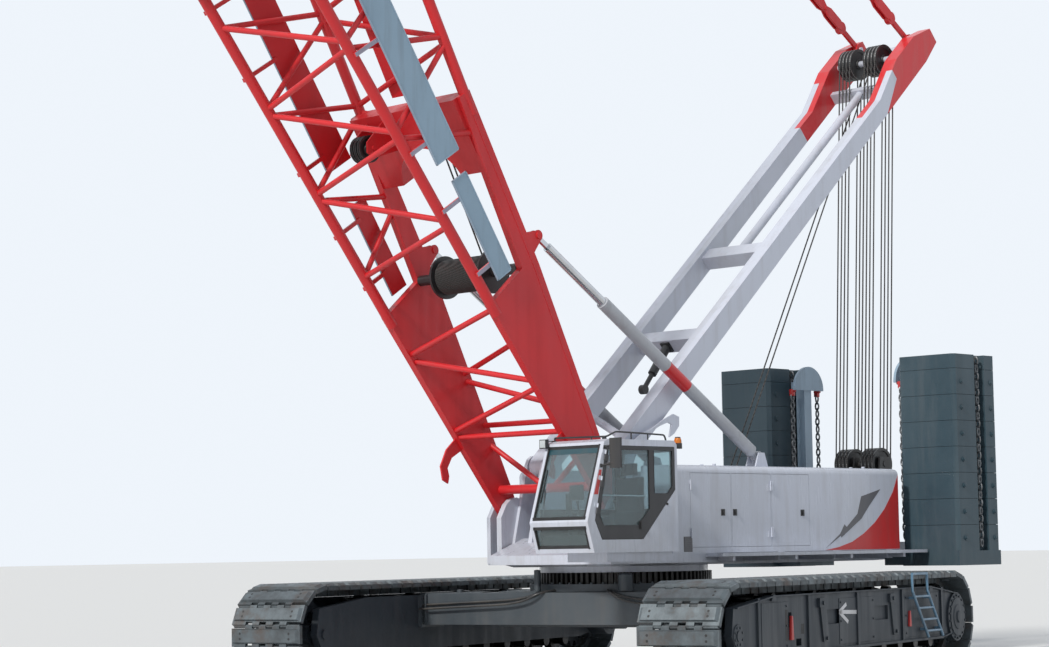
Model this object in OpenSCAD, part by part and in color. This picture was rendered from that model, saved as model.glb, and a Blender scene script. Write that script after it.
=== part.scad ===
// Crawler crane: lattice boom, raised mast with luffing ropes, two counterweight stacks.
// X is the way the boom points, Y is the driver's left, Z is up, the shoes stand on Z = 0.
// Millimetres. The tracks are turned a little under the superstructure, as it was parked.

/* [Tracks] */
// Turn of the tracks under the superstructure at rest, degrees
track_turn = 15; // [-30:1:30]
// Distance between the centre lines of the two tracks
gauge = 6600; // [6300:10:6900]
// Width of a shoe
shoe_wide = 1200; // [1100:10:1220]
// Shoes on one straight run
run_shoes = 29; // [27:2:31]
// Radius of the loop under the shoes at its two ends
loop_radius = 625; // [620:1:630]
// Height of a shoe with its grouser
shoe_high = 120; // [110:1:125]
// Depth of the link band under the shoes
link_deep = 90; // [80:1:95]

/* [Superstructure] */
// Top of the slewing ring
ring_top = 1660; // [1640:5:1680]
// Half width of the deck and the houses
house_half = 1594; // [1590:1:1600]
// Height of the house roof above ground
house_top = 3150; // [3120:5:3180]
// Front of the deck from the slewing axis
deck_front = 2000; // [1980:5:2020]

/* [Counterweight] */
// Front face of the stacks, behind the slewing axis
weight_front = 5355; // [5350:5:5380]
// Length of a slab
weight_long = 1195; // [1150:5:1195]
// Inner face of a stack from the middle
weight_inner = 1386; // [1370:2:1400]
// Width of a slab
weight_wide = 1124; // [1080:2:1130]
// Height of one slab
slab_high = 428; // [410:1:430]

/* [Boom] */
// Boom angle above level at rest, degrees
boom_angle = 56.7; // [50:0.1:62]
// Half width between the chords
boom_half = 1100; // [1090:2:1110]
// Half depth between the chords in the parallel part
boom_deep = 1000; // [980:5:1010]
// Radius of a chord tube
chord_r = 80; // [70:1:85]
// Radius of a lacing tube
lace_r = 42; // [36:1:46]

/* [Mast] */
// Mast angle above level toward the rear at rest, degrees
mast_angle = 41.8; // [40:0.1:44]
// Half distance between the centres of the two legs
mast_half = 735; // [730:1:740]
// Depth of a mast leg
leg_deep = 350; // [330:5:360]
// Width of a mast leg
leg_wide = 250; // [240:5:260]

/* [Hidden] */
$fn = 0;
$fa = 6;
$fs = 2;

// Track loop
end_shoes = 7;
pitch = 2 * loop_radius * tan(90 / end_shoes);
run_long = run_shoes * pitch;
track_r = loop_radius + shoe_high;
track_high = 2 * track_r;
track_end = run_long / 2 + track_r;
inner_r = loop_radius - link_deep;
axle_z = track_r;
shoe_half = pitch / 2 - 8;

// Boom foot, mast foot and the lengths along the boom
boom_x = 1376;
boom_z = 2511;
foot_end = 9500;
insert_end = 18500;
head_start = insert_end;
foot_deep = 170;
plate_end = 3800;
portal_top = 6540;
tip_deep = 380;
tip_half = 800;
head_box = 25500;
boom_long = head_box + 1200;
fit = 0.3;
lace_in = 50;
lace_off = 52;
lug_y = 1100;
lug_thick = 120;
pin_r = 70;
mast_x = 1000;
mast_z = 3200;
mast_long = 11100;
mast_sheave_s = mast_long - 640;
head_sheave_r = 380;
head_sheave_n = -820;
pendant_s = head_box + 900;
pendant_n = 700;
pendant_y = 540;
pendant_link = 620;
winch_s = 3900;
winch_n = 350;
mast_pin_n = 250;
fall_long = 6500;
tail_x = 6500;

// Places that come from the turned boom
ca = cos(boom_angle);
sa = sin(boom_angle);
cm = cos(mast_angle);
sm = sin(mast_angle);
function boom_place(s, n) = [boom_x + s * ca - n * sa, boom_z + s * sa + n * ca];
function mast_place(s, n) = [mast_x - s * cm + n * sm, mast_z + s * sm + n * cm];
head_axle = boom_place(boom_long, head_sheave_n);
front_x = head_axle[0] + head_sheave_r;
rear_x = -weight_front - weight_long;
mast_tip = [mast_long + 300, -40];
mid_x = (front_x + mast_place(mast_tip[0], mast_tip[1])[0]) / 2;

// Backstop
stop_house = [-1950, 3330];
stop_boom_s = 4150;
stop_boom_n = 860;
stop_boom = boom_place(stop_boom_s, stop_boom_n);
stop_y = 1100;
stop_v = stop_boom - stop_house;
stop_long = norm(stop_v);
stop_angle = atan2(stop_v[1], stop_v[0]);
stop_tube = 4150;

// Luffing block
block_x = -6180;
block_z = 3300;
mast_sheave = mast_place(mast_sheave_s, 300);
pend_mast = mast_place(mast_long, mast_pin_n);
pend_boom = boom_place(pendant_s, pendant_n);
pend_v = pend_boom - pend_mast;
pend_long = norm(pend_v);
pend_angle = atan2(pend_v[1], pend_v[0]);

// Colours
paint_red = [0.78, 0.10, 0.11];
paint_white = [0.83, 0.84, 0.86];
paint_grey = [0.22, 0.24, 0.26];
slab_grey = [0.20, 0.26, 0.29];
steel = [0.45, 0.44, 0.42];
dark = [0.10, 0.10, 0.11];
glass = [0.35, 0.45, 0.50];
blue = [0.55, 0.68, 0.80];

carbody();
slewing_ring();
left_track_frame();
right_track_frame();
left_track();
right_track();
left_rollers();
right_rollers();
left_idler();
right_idler();
left_sprocket();
right_sprocket();
track_steps();
slewing_platform();
left_house();
right_house();
house_door_front();
house_door_middle();
house_door_rear();
engine();
winches();
counterweight_tray();
left_counterweight();
right_counterweight();
weight_lifters();
walkways();
cab_shell();
cab_door();
cab_door_glass();
cab_windows();
cab_seat();
cab_fittings();
mast_legs();
mast_head_sheaves();
mast_helper_cylinder();
luffing_sheaves();
backstop_tubes();
backstop_rods();
boom_foot();
boom_winch();
boom_insert();
boom_head();
boom_head_sheaves();
boom_boards();
boom_walk();
boom_pendants();
hook_block();
hook();

// Frames of the moving bodies

module upper() translate([-mid_x, 0, 0]) children();

module under() upper() rotate([0, 0, track_turn]) children();

module on_boom() upper() translate([boom_x, 0, boom_z]) rotate([0, -boom_angle, 0]) children();

module on_mast() upper() translate([mast_x, 0, mast_z]) rotate([0, mast_angle - 180, 0])
    rotate([180, 0, 0]) children();

// Plain helpers

module box(x0, x1, y0, y1, z0, z1) translate([x0, y0, z0]) cube([x1 - x0, y1 - y0, z1 - z0]);

module across(y0, y1) translate([0, y1, 0]) rotate([90, 0, 0]) linear_extrude(y1 - y0) children();

module axle(x, z, y0, y1, r) translate([x, y0, z]) rotate([-90, 0, 0]) cylinder(h = y1 - y0, r = r);

module both() {
    children();
    mirror([0, 1, 0]) children();
}

module tube(a, b, r, sides = 0) {
    v = b - a;
    l = norm(v);
    translate(a) rotate([0, acos(v[2] / l), atan2(v[1], v[0])]) cylinder(h = l, r = r, $fn = sides);
}

// Track loop: one outline with every shoe in it

function turned(p, a) = [p[0] * cos(a) - p[1] * sin(a), p[0] * sin(a) + p[1] * cos(a)];

shoe_shape = [[-shoe_half, 0], [-shoe_half, 70], [-shoe_half + 26, 72], [-shoe_half + 40, shoe_high],
    [-shoe_half + 84, shoe_high], [-shoe_half + 98, 62], [shoe_half, 62], [shoe_half, 0]];

function shoe_at(mid, a) = [for (p = shoe_shape) mid + turned([-p[0], p[1]], a)];

top_run = [for (i = [0:run_shoes - 1])
    each shoe_at([run_long / 2 - (i + 0.5) * pitch, loop_radius], 0)];
rear_end = [for (i = [0:end_shoes - 1]) let (a = (i + 0.5) * 180 / end_shoes)
    each shoe_at([-run_long / 2 - loop_radius * sin(a), loop_radius * cos(a)], a)];
loop_half = concat(top_run, rear_end);
loop_outer = concat(loop_half, [for (p = loop_half) -p]);
inner_end = [for (i = [0:end_shoes]) let (a = i * 180 / end_shoes)
    [-run_long / 2 - inner_r / cos(90 / end_shoes) * sin(a) * (i % end_shoes == 0 ? 0 : 1),
    inner_r / cos(90 / end_shoes) * cos(a) * (i % end_shoes == 0 ? cos(90 / end_shoes) : 1)]];

module loop_inside() polygon(concat(inner_end, [for (p = inner_end) -p]));

module track_loop() translate([0, 0, axle_z]) across(-shoe_wide / 2, shoe_wide / 2)
    difference() {
        polygon(loop_outer);
        loop_inside();
    }

module at_left() under() translate([0, gauge / 2, 0]) children();

module at_right() under() translate([0, -gauge / 2, 0]) mirror([0, 1, 0]) children();

// Side frame: two webs, a box between them, pockets for the rollers

web_in = -540;
web_thick = 110;
web_top = 1255;
web_low = 430;
axle_x = run_long / 2;

module web_shape() polygon([[-3600, web_low], [3600, web_low], [axle_x + 60, 520],
    [axle_x + 190, 745], [axle_x + 120, 1120], [3000, web_top], [-3000, web_top],
    [-axle_x - 120, 1120], [-axle_x - 190, 745], [-axle_x - 60, 520]]);

module side_frame() {
    difference() {
        union() {
            across(web_in, web_in + web_thick) web_shape();
            across(-web_in - web_thick, -web_in) web_shape();
            box(-3450, 3450, web_in + 50, -web_in - 50, 700, 1060);
        }
        for (x = [-2700, -900, 900, 2700]) box(x - 330, x + 330, 500, 600, 800, 1010);
        box(2050, 2230, 420, 600, 540, 640);
        axle(axle_x, axle_z, -700, 700, 75);
        axle(-axle_x, axle_z, -700, 700, 75);
    }
    for (x = [-3500, -1800, 0, 1800, 3500]) box(x - 35, x + 35, 535, 570, 470, 1230);
}

module left_track_frame() color(paint_grey) at_left() side_frame();

module right_track_frame() color(paint_grey) at_right() side_frame();

module left_track() color(steel) at_left() track_loop();

module right_track() color(steel) at_right() track_loop();

// Rollers under and over the frame, each with its axle

roller_z = axle_z - inner_r + 190;
carrier_z = axle_z + inner_r - 92;
roller_count = 11;

module rollers() {
    for (i = [0:roller_count - 1]) let (x = -3300 + i * 660) {
        axle(x, roller_z, -230, -90, 190);
        axle(x, roller_z, 90, 230, 190);
        axle(x, roller_z, -430, 430, 95);
    }
    for (x = [-2200, -750, 750, 2200]) {
        axle(x, carrier_z, -200, -70, 90);
        axle(x, carrier_z, 70, 200, 90);
        axle(x, carrier_z, -430, 430, 50);
    }
}

module left_rollers() color(dark) at_left() rollers();

module right_rollers() color(dark) at_right() rollers();

module idler_wheel() difference() {
    union() {
        axle(axle_x, axle_z, -190, -60, 522);
        axle(axle_x, axle_z, 60, 190, 522);
        axle(axle_x, axle_z, -60, 60, 440);
        axle(axle_x, axle_z, -330, 330, 150);
        axle(axle_x, axle_z, -570, 570, 75);
    }
    for (a = [0:60:300]) translate([axle_x, 0, axle_z]) rotate([0, a, 0])
        translate([285, 0, 0]) rotate([90, 0, 0]) cylinder(h = 600, r = 75, center = true);
}

module left_idler() color(paint_grey) at_left() idler_wheel();

module right_idler() color(paint_grey) at_right() idler_wheel();

// Sprocket with its drive

tooth_count = 16;

module sprocket_shape() polygon([for (i = [0:tooth_count - 1]) each [
    for (t = [[-8, 430], [-4, 520], [4, 520], [8, 430]]) let (a = i * 360 / tooth_count + t[0])
    [-axle_x + t[1] * cos(a), axle_z + t[1] * sin(a)]]]);

module sprocket_drive() {
    across(-90, 90) sprocket_shape();
    axle(-axle_x, axle_z, -420, 420, 260);
    axle(-axle_x, axle_z, -560, 560, 75);
    axle(-axle_x, axle_z, 540, 575, 385);
    axle(-axle_x, axle_z, 575, 590, 300);
    axle(-axle_x, axle_z, -850, -540, 300);
    axle(-axle_x, axle_z, -1150, -850, 210);
}

module left_sprocket() color(paint_grey) at_left() sprocket_drive();

module right_sprocket() color(paint_grey) at_right() sprocket_drive();

// Steps and hand rails on the left track frame, near its rear

ladder_lean = 640;
ladder_y = shoe_wide / 2 + 40;

module track_steps() color(blue) at_left() {
    for (x = [-2020, -2660]) {
        tube([x, ladder_y, 1460], [x, ladder_y, 1180], 20);
        tube([x, ladder_y, 1200], [x - ladder_lean, ladder_y, 480], 22);
        for (t = [0.15, 0.85]) box(x - t * ladder_lean - 25, x - t * ladder_lean + 25, 540, ladder_y,
            1180 - t * 700, 1220 - t * 700);
    }
    tube([-2020, ladder_y, 1460], [-2660, ladder_y, 1460], 20);
    for (t = [0.12, 0.37, 0.62, 0.87]) tube([-2020 - t * ladder_lean, ladder_y, 1200 - t * 720],
        [-2660 - t * ladder_lean, ladder_y, 1200 - t * 720], 18);
}

// Carbody: two cross beams, a centre box and the ring seat

beam_x = 1250;

module carbody() color(paint_grey) under() {
    yb = gauge / 2 + web_in;
    for (x = [-beam_x, beam_x]) box(x - 275, x + 275, -yb, yb, 800, 1280);
    box(-beam_x - 100, beam_x + 100, -1450, 1450, 760, 1300);
    translate([0, 0, 1290]) cylinder(h = 110, r = 1450);
    for (x = [-beam_x, beam_x], s = [-1, 1]) box(x - 330, x + 330, s > 0 ? yb - 60 : -yb,
        s > 0 ? yb : 60 - yb, 760, 1250);
}

ring_teeth = 90;
ring_r = 1360;

module slewing_ring() color(dark) under() translate([0, 0, 1400]) {
    linear_extrude(170) difference() {
        polygon([for (i = [0:ring_teeth - 1]) each [
            for (t = [[-1.4, -55], [-0.8, 0], [0.8, 0], [1.4, -55]])
            let (a = i * 360 / ring_teeth + t[0], r = ring_r + t[1]) [r * cos(a), r * sin(a)]]]);
        circle(r = 1080);
    }
}

// Slewing platform with the brackets of the boom and the mast

deck_top = 1836;
tail_top = 1960;
beam_places = [-4700, -3300, -1900];
deck_rear = -360;

// Strips of the deck: right edge, left edge, front end
deck_strips = [[-900, house_half, deck_front], [-1250, -900, 1700], [-house_half, -1250, 1300]];

module slewing_platform() color(paint_white) upper() {
    translate([0, 0, 1570 + fit]) cylinder(h = ring_top - 1570 - fit, r = 1300);
    across(-900, 900) polygon([[-tail_x, 1700], [-5200, ring_top], [1500, ring_top],
        [deck_front, 1760], [deck_front, 1840], [1300, 2100], [-4600, 2100], [-5800, tail_top],
        [-tail_x, tail_top]]);
    for (d = deck_strips) box(deck_rear, d[2], d[0], d[1], 1700, deck_top);
    both() {
        for (x = beam_places) box(x - 80, x + 80, 890, house_half, 1700, deck_top);
        for (y = [[930, 1030], [1170, 1245]]) across(y[0], y[1]) bracket_shape();
        axle(boom_x, boom_z, 930, 1245, pin_r);
        for (y = [[515, 595], [875, 940]]) across(y[0], y[1]) mast_bracket_shape();
        axle(mast_x, mast_z, 515, 940, 60);
    }
}

module bracket_shape() polygon([[700, 1720], [1720, 1720], [1720, 2420], [1600, 2620],
    [1500, 2700], [1376, 2730], [1230, 2680], [1130, 2540]]);

module mast_bracket_shape() polygon([[420, 1990], [1500, 1990], [1190, 3220], [1140, 3320],
    [1060, 3370], [940, 3370], [850, 3310], [800, 3200]]);

// Machinery houses: thin walls, doors cut out on the left

house_rear = -4990;
house_low = deck_top;
house_inner = 985;
house_front = 650;
roof_round = 95;
house_wall = 30;
engine_gap = 60;
door_low = 1920;
door_high = 3040;
door_seams = [240, -720, -1680, -2640];

// A house as a solid, smaller all round by a gap, with its outer roof edge rounded
module house_solid(gap) {
    r = roof_round - gap;
    box(house_rear + gap, house_front - gap, house_inner + gap, house_half - gap,
        house_low + gap, house_top - roof_round);
    box(house_rear + gap, house_front - gap, house_inner + gap, house_half - roof_round,
        house_low + gap, house_top - gap);
    translate([house_rear + gap, house_half - roof_round, house_top - roof_round])
        rotate([0, 90, 0]) cylinder(h = house_front - house_rear - 2 * gap, r = r);
}

module house_box() difference() {
    house_solid(0);
    house_solid(house_wall);
}

module left_house() color(paint_white) upper() {
    difference() {
        house_box();
        for (i = [0:2]) box(door_seams[i + 1] + 10, door_seams[i] - 10, house_half - 60,
            house_half + 60, door_low, door_high);
    }
    for (h = door_hinges, z = [2060, 2780]) box(h[1] > 0 ? h[0] + 5 : h[0] - 25,
        h[1] > 0 ? h[0] + 25 : h[0] - 5, house_half - 5, house_half + 8, z + 90 + fit, z + 150);
    for (h = door_hinges, z = [2060, 2780]) knuckle(h[0], z + 90 + fit, 60 - fit);
    stop_bracket();
}

// Doors: place of the hinge line, side on which the jamb is, door number
door_hinges = [[225, 1, 0], [-1665, -1, 1], [-1695, 1, 2]];

// A hinge knuckle stands a little off the wall
knuckle_r = 12;
knuckle_out = 13;

module knuckle(x, z, h) translate([x, house_half + knuckle_out, z]) cylinder(h = h, r = knuckle_r);

module stop_bracket() {
    for (y = [stop_y - 108, stop_y + 83]) across(y, y + 25) polygon([
        [stop_house[0] - 160, house_top - 5], [stop_house[0] + 160, house_top - 5],
        [stop_house[0] + 70, stop_house[1] + 60], [stop_house[0] - 70, stop_house[1] + 60]]);
    axle(stop_house[0], stop_house[1], stop_y - 108, stop_y + 108, 35);
}

module right_house() color(paint_white) upper() mirror([0, 1, 0]) {
    difference() {
        house_box();
        for (g = grilles, i = [0:g[2] - 1]) box(g[0], g[1], house_half - 12, house_half + 10,
            2150 + i * 90, 2200 + i * 90);
    }
    stop_bracket();
}

// Air grilles of the engine house: rear end, front end, number of slots
grilles = [[-4700, -3450, 9], [-3250, -2000, 9]];

module house_door(i) {
    box(door_seams[i + 1] + 15, door_seams[i] - 15, house_half - 25, house_half,
        door_low + 5, door_high - 5);
    h = door_hinges[i];
    for (z = [2060, 2780]) {
        knuckle(h[0], z, 90);
        box(h[1] > 0 ? h[0] - 80 : h[0], h[1] > 0 ? h[0] : h[0] + 80, house_half - 5,
            house_half + 8, z, z + 90);
    }
}

module house_door_front() color(paint_white) upper() house_door(0);

module house_door_middle() color(paint_white) upper() house_door(1);

module house_door_rear() color(paint_white) upper() house_door(2);

module engine() color(dark) upper() box(-4300, -2300, house_wall + engine_gap - house_half,
    -house_wall - engine_gap - house_inner, house_low + house_wall, house_top - 250);

// Three winches between the houses

module drum(x, z, r, half) {
    axle(x, z, -half, half, r);
    for (s = [-1, 1]) axle(x, z, s > 0 ? half - 40 : -half, s > 0 ? half : 40 - half, r + 130);
    axle(x, z, -half - 120, half + 120, 110);
    for (s = [-1, 1]) translate([0, s * (half + 80), 0]) across(-35, 35) polygon([[x - 300, 2100],
        [x + 300, 2100], [x + 150, z + 130], [x - 150, z + 130]]);
}

module winches() color(dark) upper() {
    drum(-900, 2560, 270, 560);
    drum(-2300, 2560, 270, 560);
    drum(-3700, 2560, 250, 560);
    axle(block_x, block_z, -480, 480, 55);
    for (s = [-1, 1], y = [90, 450]) translate([0, s * y, 0]) across(-18, 18) polygon([
        [block_x - 310, tail_top + 10], [block_x + 310, tail_top + 10], [block_x + 140,
        block_z + 120], [block_x - 140, block_z + 120]]);
    box(block_x - 310, block_x + 310, -500, 500, tail_top, tail_top + 40);
}

// Counterweight

tray_low = 1560;
tray_top = 1797;

module counterweight_tray() color(slab_grey) upper() {
    for (s = [-1, 1]) box(rear_x, -weight_front, s > 0 ? weight_inner : -weight_inner - weight_wide,
        s > 0 ? weight_inner + weight_wide : -weight_inner, tray_low, tray_top);
    box(rear_x + 100, -weight_front - 150, -weight_inner - 10, -900, tray_low + 10, tray_top - 10);
    box(rear_x + 100, -weight_front - 150, 900, weight_inner + 10, tray_low + 10, tray_top - 10);
}

slab_count = 7;
cap_high = 236;
slab_gap = 6;

module slab(z, h) translate([0, 0, z]) linear_extrude(h) difference() {
    polygon([[rear_x, weight_inner + 60], [rear_x, weight_inner + weight_wide - 60],
        [rear_x + 60, weight_inner + weight_wide], [-weight_front - 60, weight_inner + weight_wide],
        [-weight_front, weight_inner + weight_wide - 60], [-weight_front, weight_inner + 60],
        [-weight_front - 60, weight_inner], [rear_x + 60, weight_inner]]);
    translate([-6220, weight_inner + weight_wide - 110]) square([280, 200]);
    translate([-6220, weight_inner - 90]) square([280, 200]);
}

module stack() {
    for (i = [0:slab_count - 1]) slab(tray_top + i * slab_high, slab_high - slab_gap);
    slab(tray_top + slab_count * slab_high, cap_high);
    box(rear_x + 70, -weight_front - 70, weight_inner + 120, weight_inner + weight_wide - 120,
        tray_top, tray_top + slab_count * slab_high + 20);
}

module left_counterweight() color(slab_grey) upper() stack();

module right_counterweight() color(slab_grey) upper() mirror([0, 1, 0]) stack();

lifter_top = 5060;

module lifter() {
    box(-6180, -5980, weight_inner - 290, weight_inner - 110, tray_top - 10, lifter_top - 200);
    across(weight_inner - 330, weight_inner - 280) difference() {
        translate([-6080, lifter_top - 400]) circle(r = 400);
        translate([-6600, lifter_top - 900]) square([1040, 480]);
    }
    box(-6180, -5980, weight_inner - 290, weight_inner - 2, lifter_top - 420, lifter_top - 260);
}

module weight_lifters() color(blue) upper() both() lifter();

module walkways() color(paint_grey) upper() both() {
    box(-5300, -100, house_half, house_half + 330, 1780, 1830);
    for (x = concat(beam_places, [-400])) box(x - 30, x + 30, house_half, house_half + 300,
        1715, 1785);
}

// Driver's cab on its carrier, outside the boom

cab_y0 = 1270;
cab_y1 = 2400;
cab_rear = 1430;
cab_low = 1870;
cab_top = 3460;
cab_side = [[cab_rear, cab_low], [3200, cab_low], [3330, 2300], [2960, cab_top - 40],
    [2860, cab_top], [cab_rear + 60, cab_top], [cab_rear, cab_top - 60]];
cab_room = [[1465, 1905], [3175, 1905], [3292, 2300], [2930, 3400], [2840, 3425], [1500, 3425],
    [1465, 3385]];
door_side = [[3040, 2050], [3180, 2320], [2920, 3370], [1480, 3370], [1480, 2750], [2180, 2050]];

pillar_lean = 13.84;
pillar_hinges = [90, 480, 860];

module at_pillar() translate([3180, cab_y1, 2320]) rotate([0, -pillar_lean, 0]) children();

module cab_shell() color(paint_white) upper() difference() {
    union() {
        across(cab_y0, cab_y1) polygon(cab_side);
        box(cab_rear + 100, 2900, house_half, cab_y1 - 40, 1740, cab_low + 5);
        box(cab_rear + 100, 1950, cab_y0 + 40, house_half - 100, deck_top, cab_low + 5);
        at_pillar() for (t = pillar_hinges) {
            translate([0, knuckle_out, t + 90 + fit]) cylinder(h = 60 - fit, r = knuckle_r);
            box(0, 60, -5, 8, t + 90 + fit, t + 150);
        }
    }
    across(cab_y0 + 35, cab_y1 - 35) polygon(cab_room);
    across(cab_y1 - 60, cab_y1 + 60) polygon(door_side);
    across(cab_y0 + 70, cab_y1 - 70) polygon([[3200, 2330], [3450, 2330], [3100, 3380],
        [2860, 3380]]);
    across(cab_y0 + 70, cab_y1 - 70) polygon([[3100, 1930], [3400, 1930], [3400, 2240],
        [3200, 2240]]);
    across(cab_y0 - 60, cab_y0 + 60) polygon([[1600, 2500], [3100, 2500], [2860, 3340],
        [1600, 3340]]);
    box(cab_rear - 60, cab_rear + 60, cab_y0 + 120, cab_y1 - 120, 2500, 3300);
    box(1700, 2600, cab_y0 + 200, cab_y1 - 200, cab_top - 60, cab_top + 60);
}

door_panel = [[3029, 2056], [3172, 2321], [2915, 3364], [1486, 3364], [1486, 2753], [2183, 2056]];
door_pane = [[3000, 2250], [3080, 2400], [2880, 3310], [2040, 3310], [2040, 2480], [2280, 2250]];
quarter_pane = [[1930, 2700], [1930, 3310], [1540, 3310], [1540, 2800], [1640, 2700]];

module cab_door() color(paint_grey) upper() {
    difference() {
        across(cab_y1 - 30, cab_y1) polygon(door_panel);
        across(cab_y1 - 60, cab_y1 + 60) polygon(door_pane);
        across(cab_y1 - 60, cab_y1 + 60) polygon(quarter_pane);
    }
    at_pillar() for (t = pillar_hinges) {
        translate([0, knuckle_out, t]) cylinder(h = 90, r = knuckle_r);
        box(-80, -4, -5, 8, t, t + 90);
    }
}

module cab_door_glass() color(glass) upper() across(cab_y1 - 19, cab_y1 - 11) {
    polygon(door_pane);
    polygon(quarter_pane);
}

module cab_windows() color(glass) upper() {
    across(cab_y0 + 70, cab_y1 - 70) polygon([[3297, 2330], [3305, 2330], [2959, 3380],
        [2951, 3380]]);
    across(cab_y0 + 70, cab_y1 - 70) polygon([[3196, 1930], [3204, 1930], [3297, 2240],
        [3289, 2240]]);
    across(cab_y0 + 12, cab_y0 + 20) polygon([[1600, 2500], [3100, 2500], [2860, 3340],
        [1600, 3340]]);
    box(cab_rear + 12, cab_rear + 20, cab_y0 + 120, cab_y1 - 120, 2500, 3300);
    box(1700, 2600, cab_y0 + 200, cab_y1 - 200, cab_top - 24, cab_top - 16);
}

module cab_seat() color(dark) upper() {
    box(1900, 2350, 1600, 2080, 1905, 2250);
    box(1900, 2400, 1580, 2100, 2250, 2380);
    box(1780, 1900, 1600, 2080, 2250, 2950);
    box(2000, 2600, 1400, 1520, 1905, 2480);
    box(2750, 2950, 1550, 2100, 1905, 2300);
}

// Mirror arms: X and height of the foot, height at the mirror
mirror_arms = [[3034, 3080, 3120], [2958, 3340, 3380]];
mirror_x = 3000;
beacon_x = cab_rear - 140;
beacon_y = cab_y1 - 100;
beacon_z = 3370;

module cab_fittings() color(dark) upper() {
    box(beacon_x - 60, cab_rear, beacon_y - 30, beacon_y + 30, beacon_z - 20, beacon_z);
    box(cab_rear - 15, cab_rear, beacon_y - 30, beacon_y + 30, beacon_z - 90, beacon_z);
    translate([beacon_x, beacon_y, beacon_z - 5]) cylinder(h = 65, r = 62);
    translate([beacon_x, beacon_y, beacon_z + 50]) cylinder(h = 100, r1 = 54, r2 = 40);
    box(2800, 2990, cab_y0 + 20, cab_y0 + 50, cab_top, cab_top + 12);
    box(2985, 3045, cab_y0 - 60, cab_y0 + 70, cab_top - 100, cab_top + 30);
    box(2740, 2790, cab_y1 - 200, cab_y1 - 160, cab_top, cab_top + 45);
    for (m = mirror_arms) {
        box(m[0] - 20, m[0] + 20, cab_y1, cab_y1 + 12, m[1] - 26, m[1] + 26);
        tube([m[0], cab_y1 + 5, m[1]], [m[0], cab_y1 + 26, m[1]], 16);
        tube([m[0], cab_y1 + 20, m[1]], [mirror_x, cab_y1 + 250, m[2]], 14);
    }
    box(mirror_x - 20, mirror_x + 20, cab_y1 + 150, cab_y1 + 350, 3040, 3460);
}

// Mast, in its own frame: X along the legs, Z toward the boom side

module mast_legs() color(paint_white) on_mast() {
    both() {
        across(mast_half - leg_wide / 2, mast_half + leg_wide / 2) difference() {
            union() {
                translate([0, 0]) circle(r = 170);
                polygon([[0, -170], [600, -leg_deep / 2], [mast_long - 200, 60 - leg_deep / 2],
                    mast_tip, [mast_tip[0], 250], [mast_long - 200, 420], [mast_long - 900, 420],
                    [mast_long - 1800, leg_deep / 2], [600, leg_deep / 2], [0, 170]]);
            }
            circle(r = 60 + fit);
        }
    }
    for (s = [[2990, 260], [5240, 260], [mast_long + 50, 130]]) box(s[0] - s[1] / 2,
        s[0] + s[1] / 2, -mast_half, mast_half, -120, 120);
    box(mast_long - 1200, mast_long - 1100, -mast_half, mast_half, -100, 100);
    tube([5300, 0, 0], [mast_long - 1150, 0, 0], 70);
    tube([1300, mast_half, 0], [500, -mast_half, 0], 60);
    axle(mast_sheave_s, 300, -mast_half, mast_half, 55);
    axle(mast_long, mast_pin_n, pendant_y - 70, mast_half, 45);
    axle(mast_long, mast_pin_n, -mast_half, -pendant_y + 70, 45);
}

module mast_head_sheaves() color(dark) on_mast() for (s = [-1, 1], i = [0:3]) difference() {
    axle(mast_sheave_s, 300, s * (160 + i * 75) - 30, s * (160 + i * 75) + 30, 275);
    axle(mast_sheave_s, 300, s * (160 + i * 75) - 40, s * (160 + i * 75) + 40, 55 + fit);
}

module mast_helper_cylinder() color(dark) on_mast() {
    box(2830, 2860, -90, 90, -90, 90);
    tube([2840, 0, 0], [2280, 0, -84], 70);
    tube([2300, 0, -81], [1960, 0, -132], 38);
    axle(1955, -133, -45, 45, 75);
}

module luffing_sheaves() color(dark) upper() {
    for (s = [-1, 1], i = [0:3]) difference() {
        axle(block_x, block_z, s * (160 + i * 75) - 30, s * (160 + i * 75) + 30, 275);
        axle(block_x, block_z, s * (160 + i * 75) - 40, s * (160 + i * 75) + 40, 55 + fit);
    }
}

module stop_frame() upper() translate([stop_house[0], 0, stop_house[1]])
    rotate([0, -stop_angle, 0]) children();

module backstop_tubes() color(paint_white) stop_frame() both() difference() {
    union() {
        translate([60, stop_y, 0]) rotate([0, 90, 0]) cylinder(h = 200, r = 52);
        translate([160, stop_y, 0]) rotate([0, 90, 0]) cylinder(h = stop_tube - 160, r = 100);
        axle(0, 0, stop_y - 60, stop_y + 60, 85);
    }
    axle(0, 0, stop_y - 80, stop_y + 80, 35 + fit);
    translate([900, stop_y, 0]) rotate([0, 90, 0]) cylinder(h = stop_tube, r = 70 + fit);
}

// The rod's eye with its pin stands between the boom's lugs, so the linkage opens there
module backstop_rods() color(steel) stop_frame() both() {
    translate([stop_long - 3000, stop_y, 0]) rotate([0, 90, 0]) cylinder(h = 2720, r = 70);
    box(stop_long - 340, stop_long, stop_y - 28, stop_y + 28, -34, 34);
    axle(stop_long, 0, stop_y - 32, stop_y + 32, 70);
    axle(stop_long, 0, stop_y - 37 + fit, stop_y + 37 - fit, 40);
}

// Boom, in its own frame: X along the boom, Z toward its back

function deep_at(s) = s < foot_end ? foot_deep + (boom_deep - foot_deep) * s / foot_end
    : s < head_start ? boom_deep
    : boom_deep + (tip_deep - boom_deep) * (s - head_start) / (boom_long - head_start);
function half_at(s) = s < head_start ? boom_half
    : boom_half + (tip_half - boom_half) * (s - head_start) / (boom_long - head_start);
function knot(s, side, back) = [s, side * half_at(s), back * deep_at(s)];

// A lacing tube starts inside its chord, clear of the other tubes that meet there
module lace(a, b, r = lace_r) {
    u = (b - a) / norm(b - a);
    tube(a + u * lace_in, b - u * lace_in, r);
}

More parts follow.
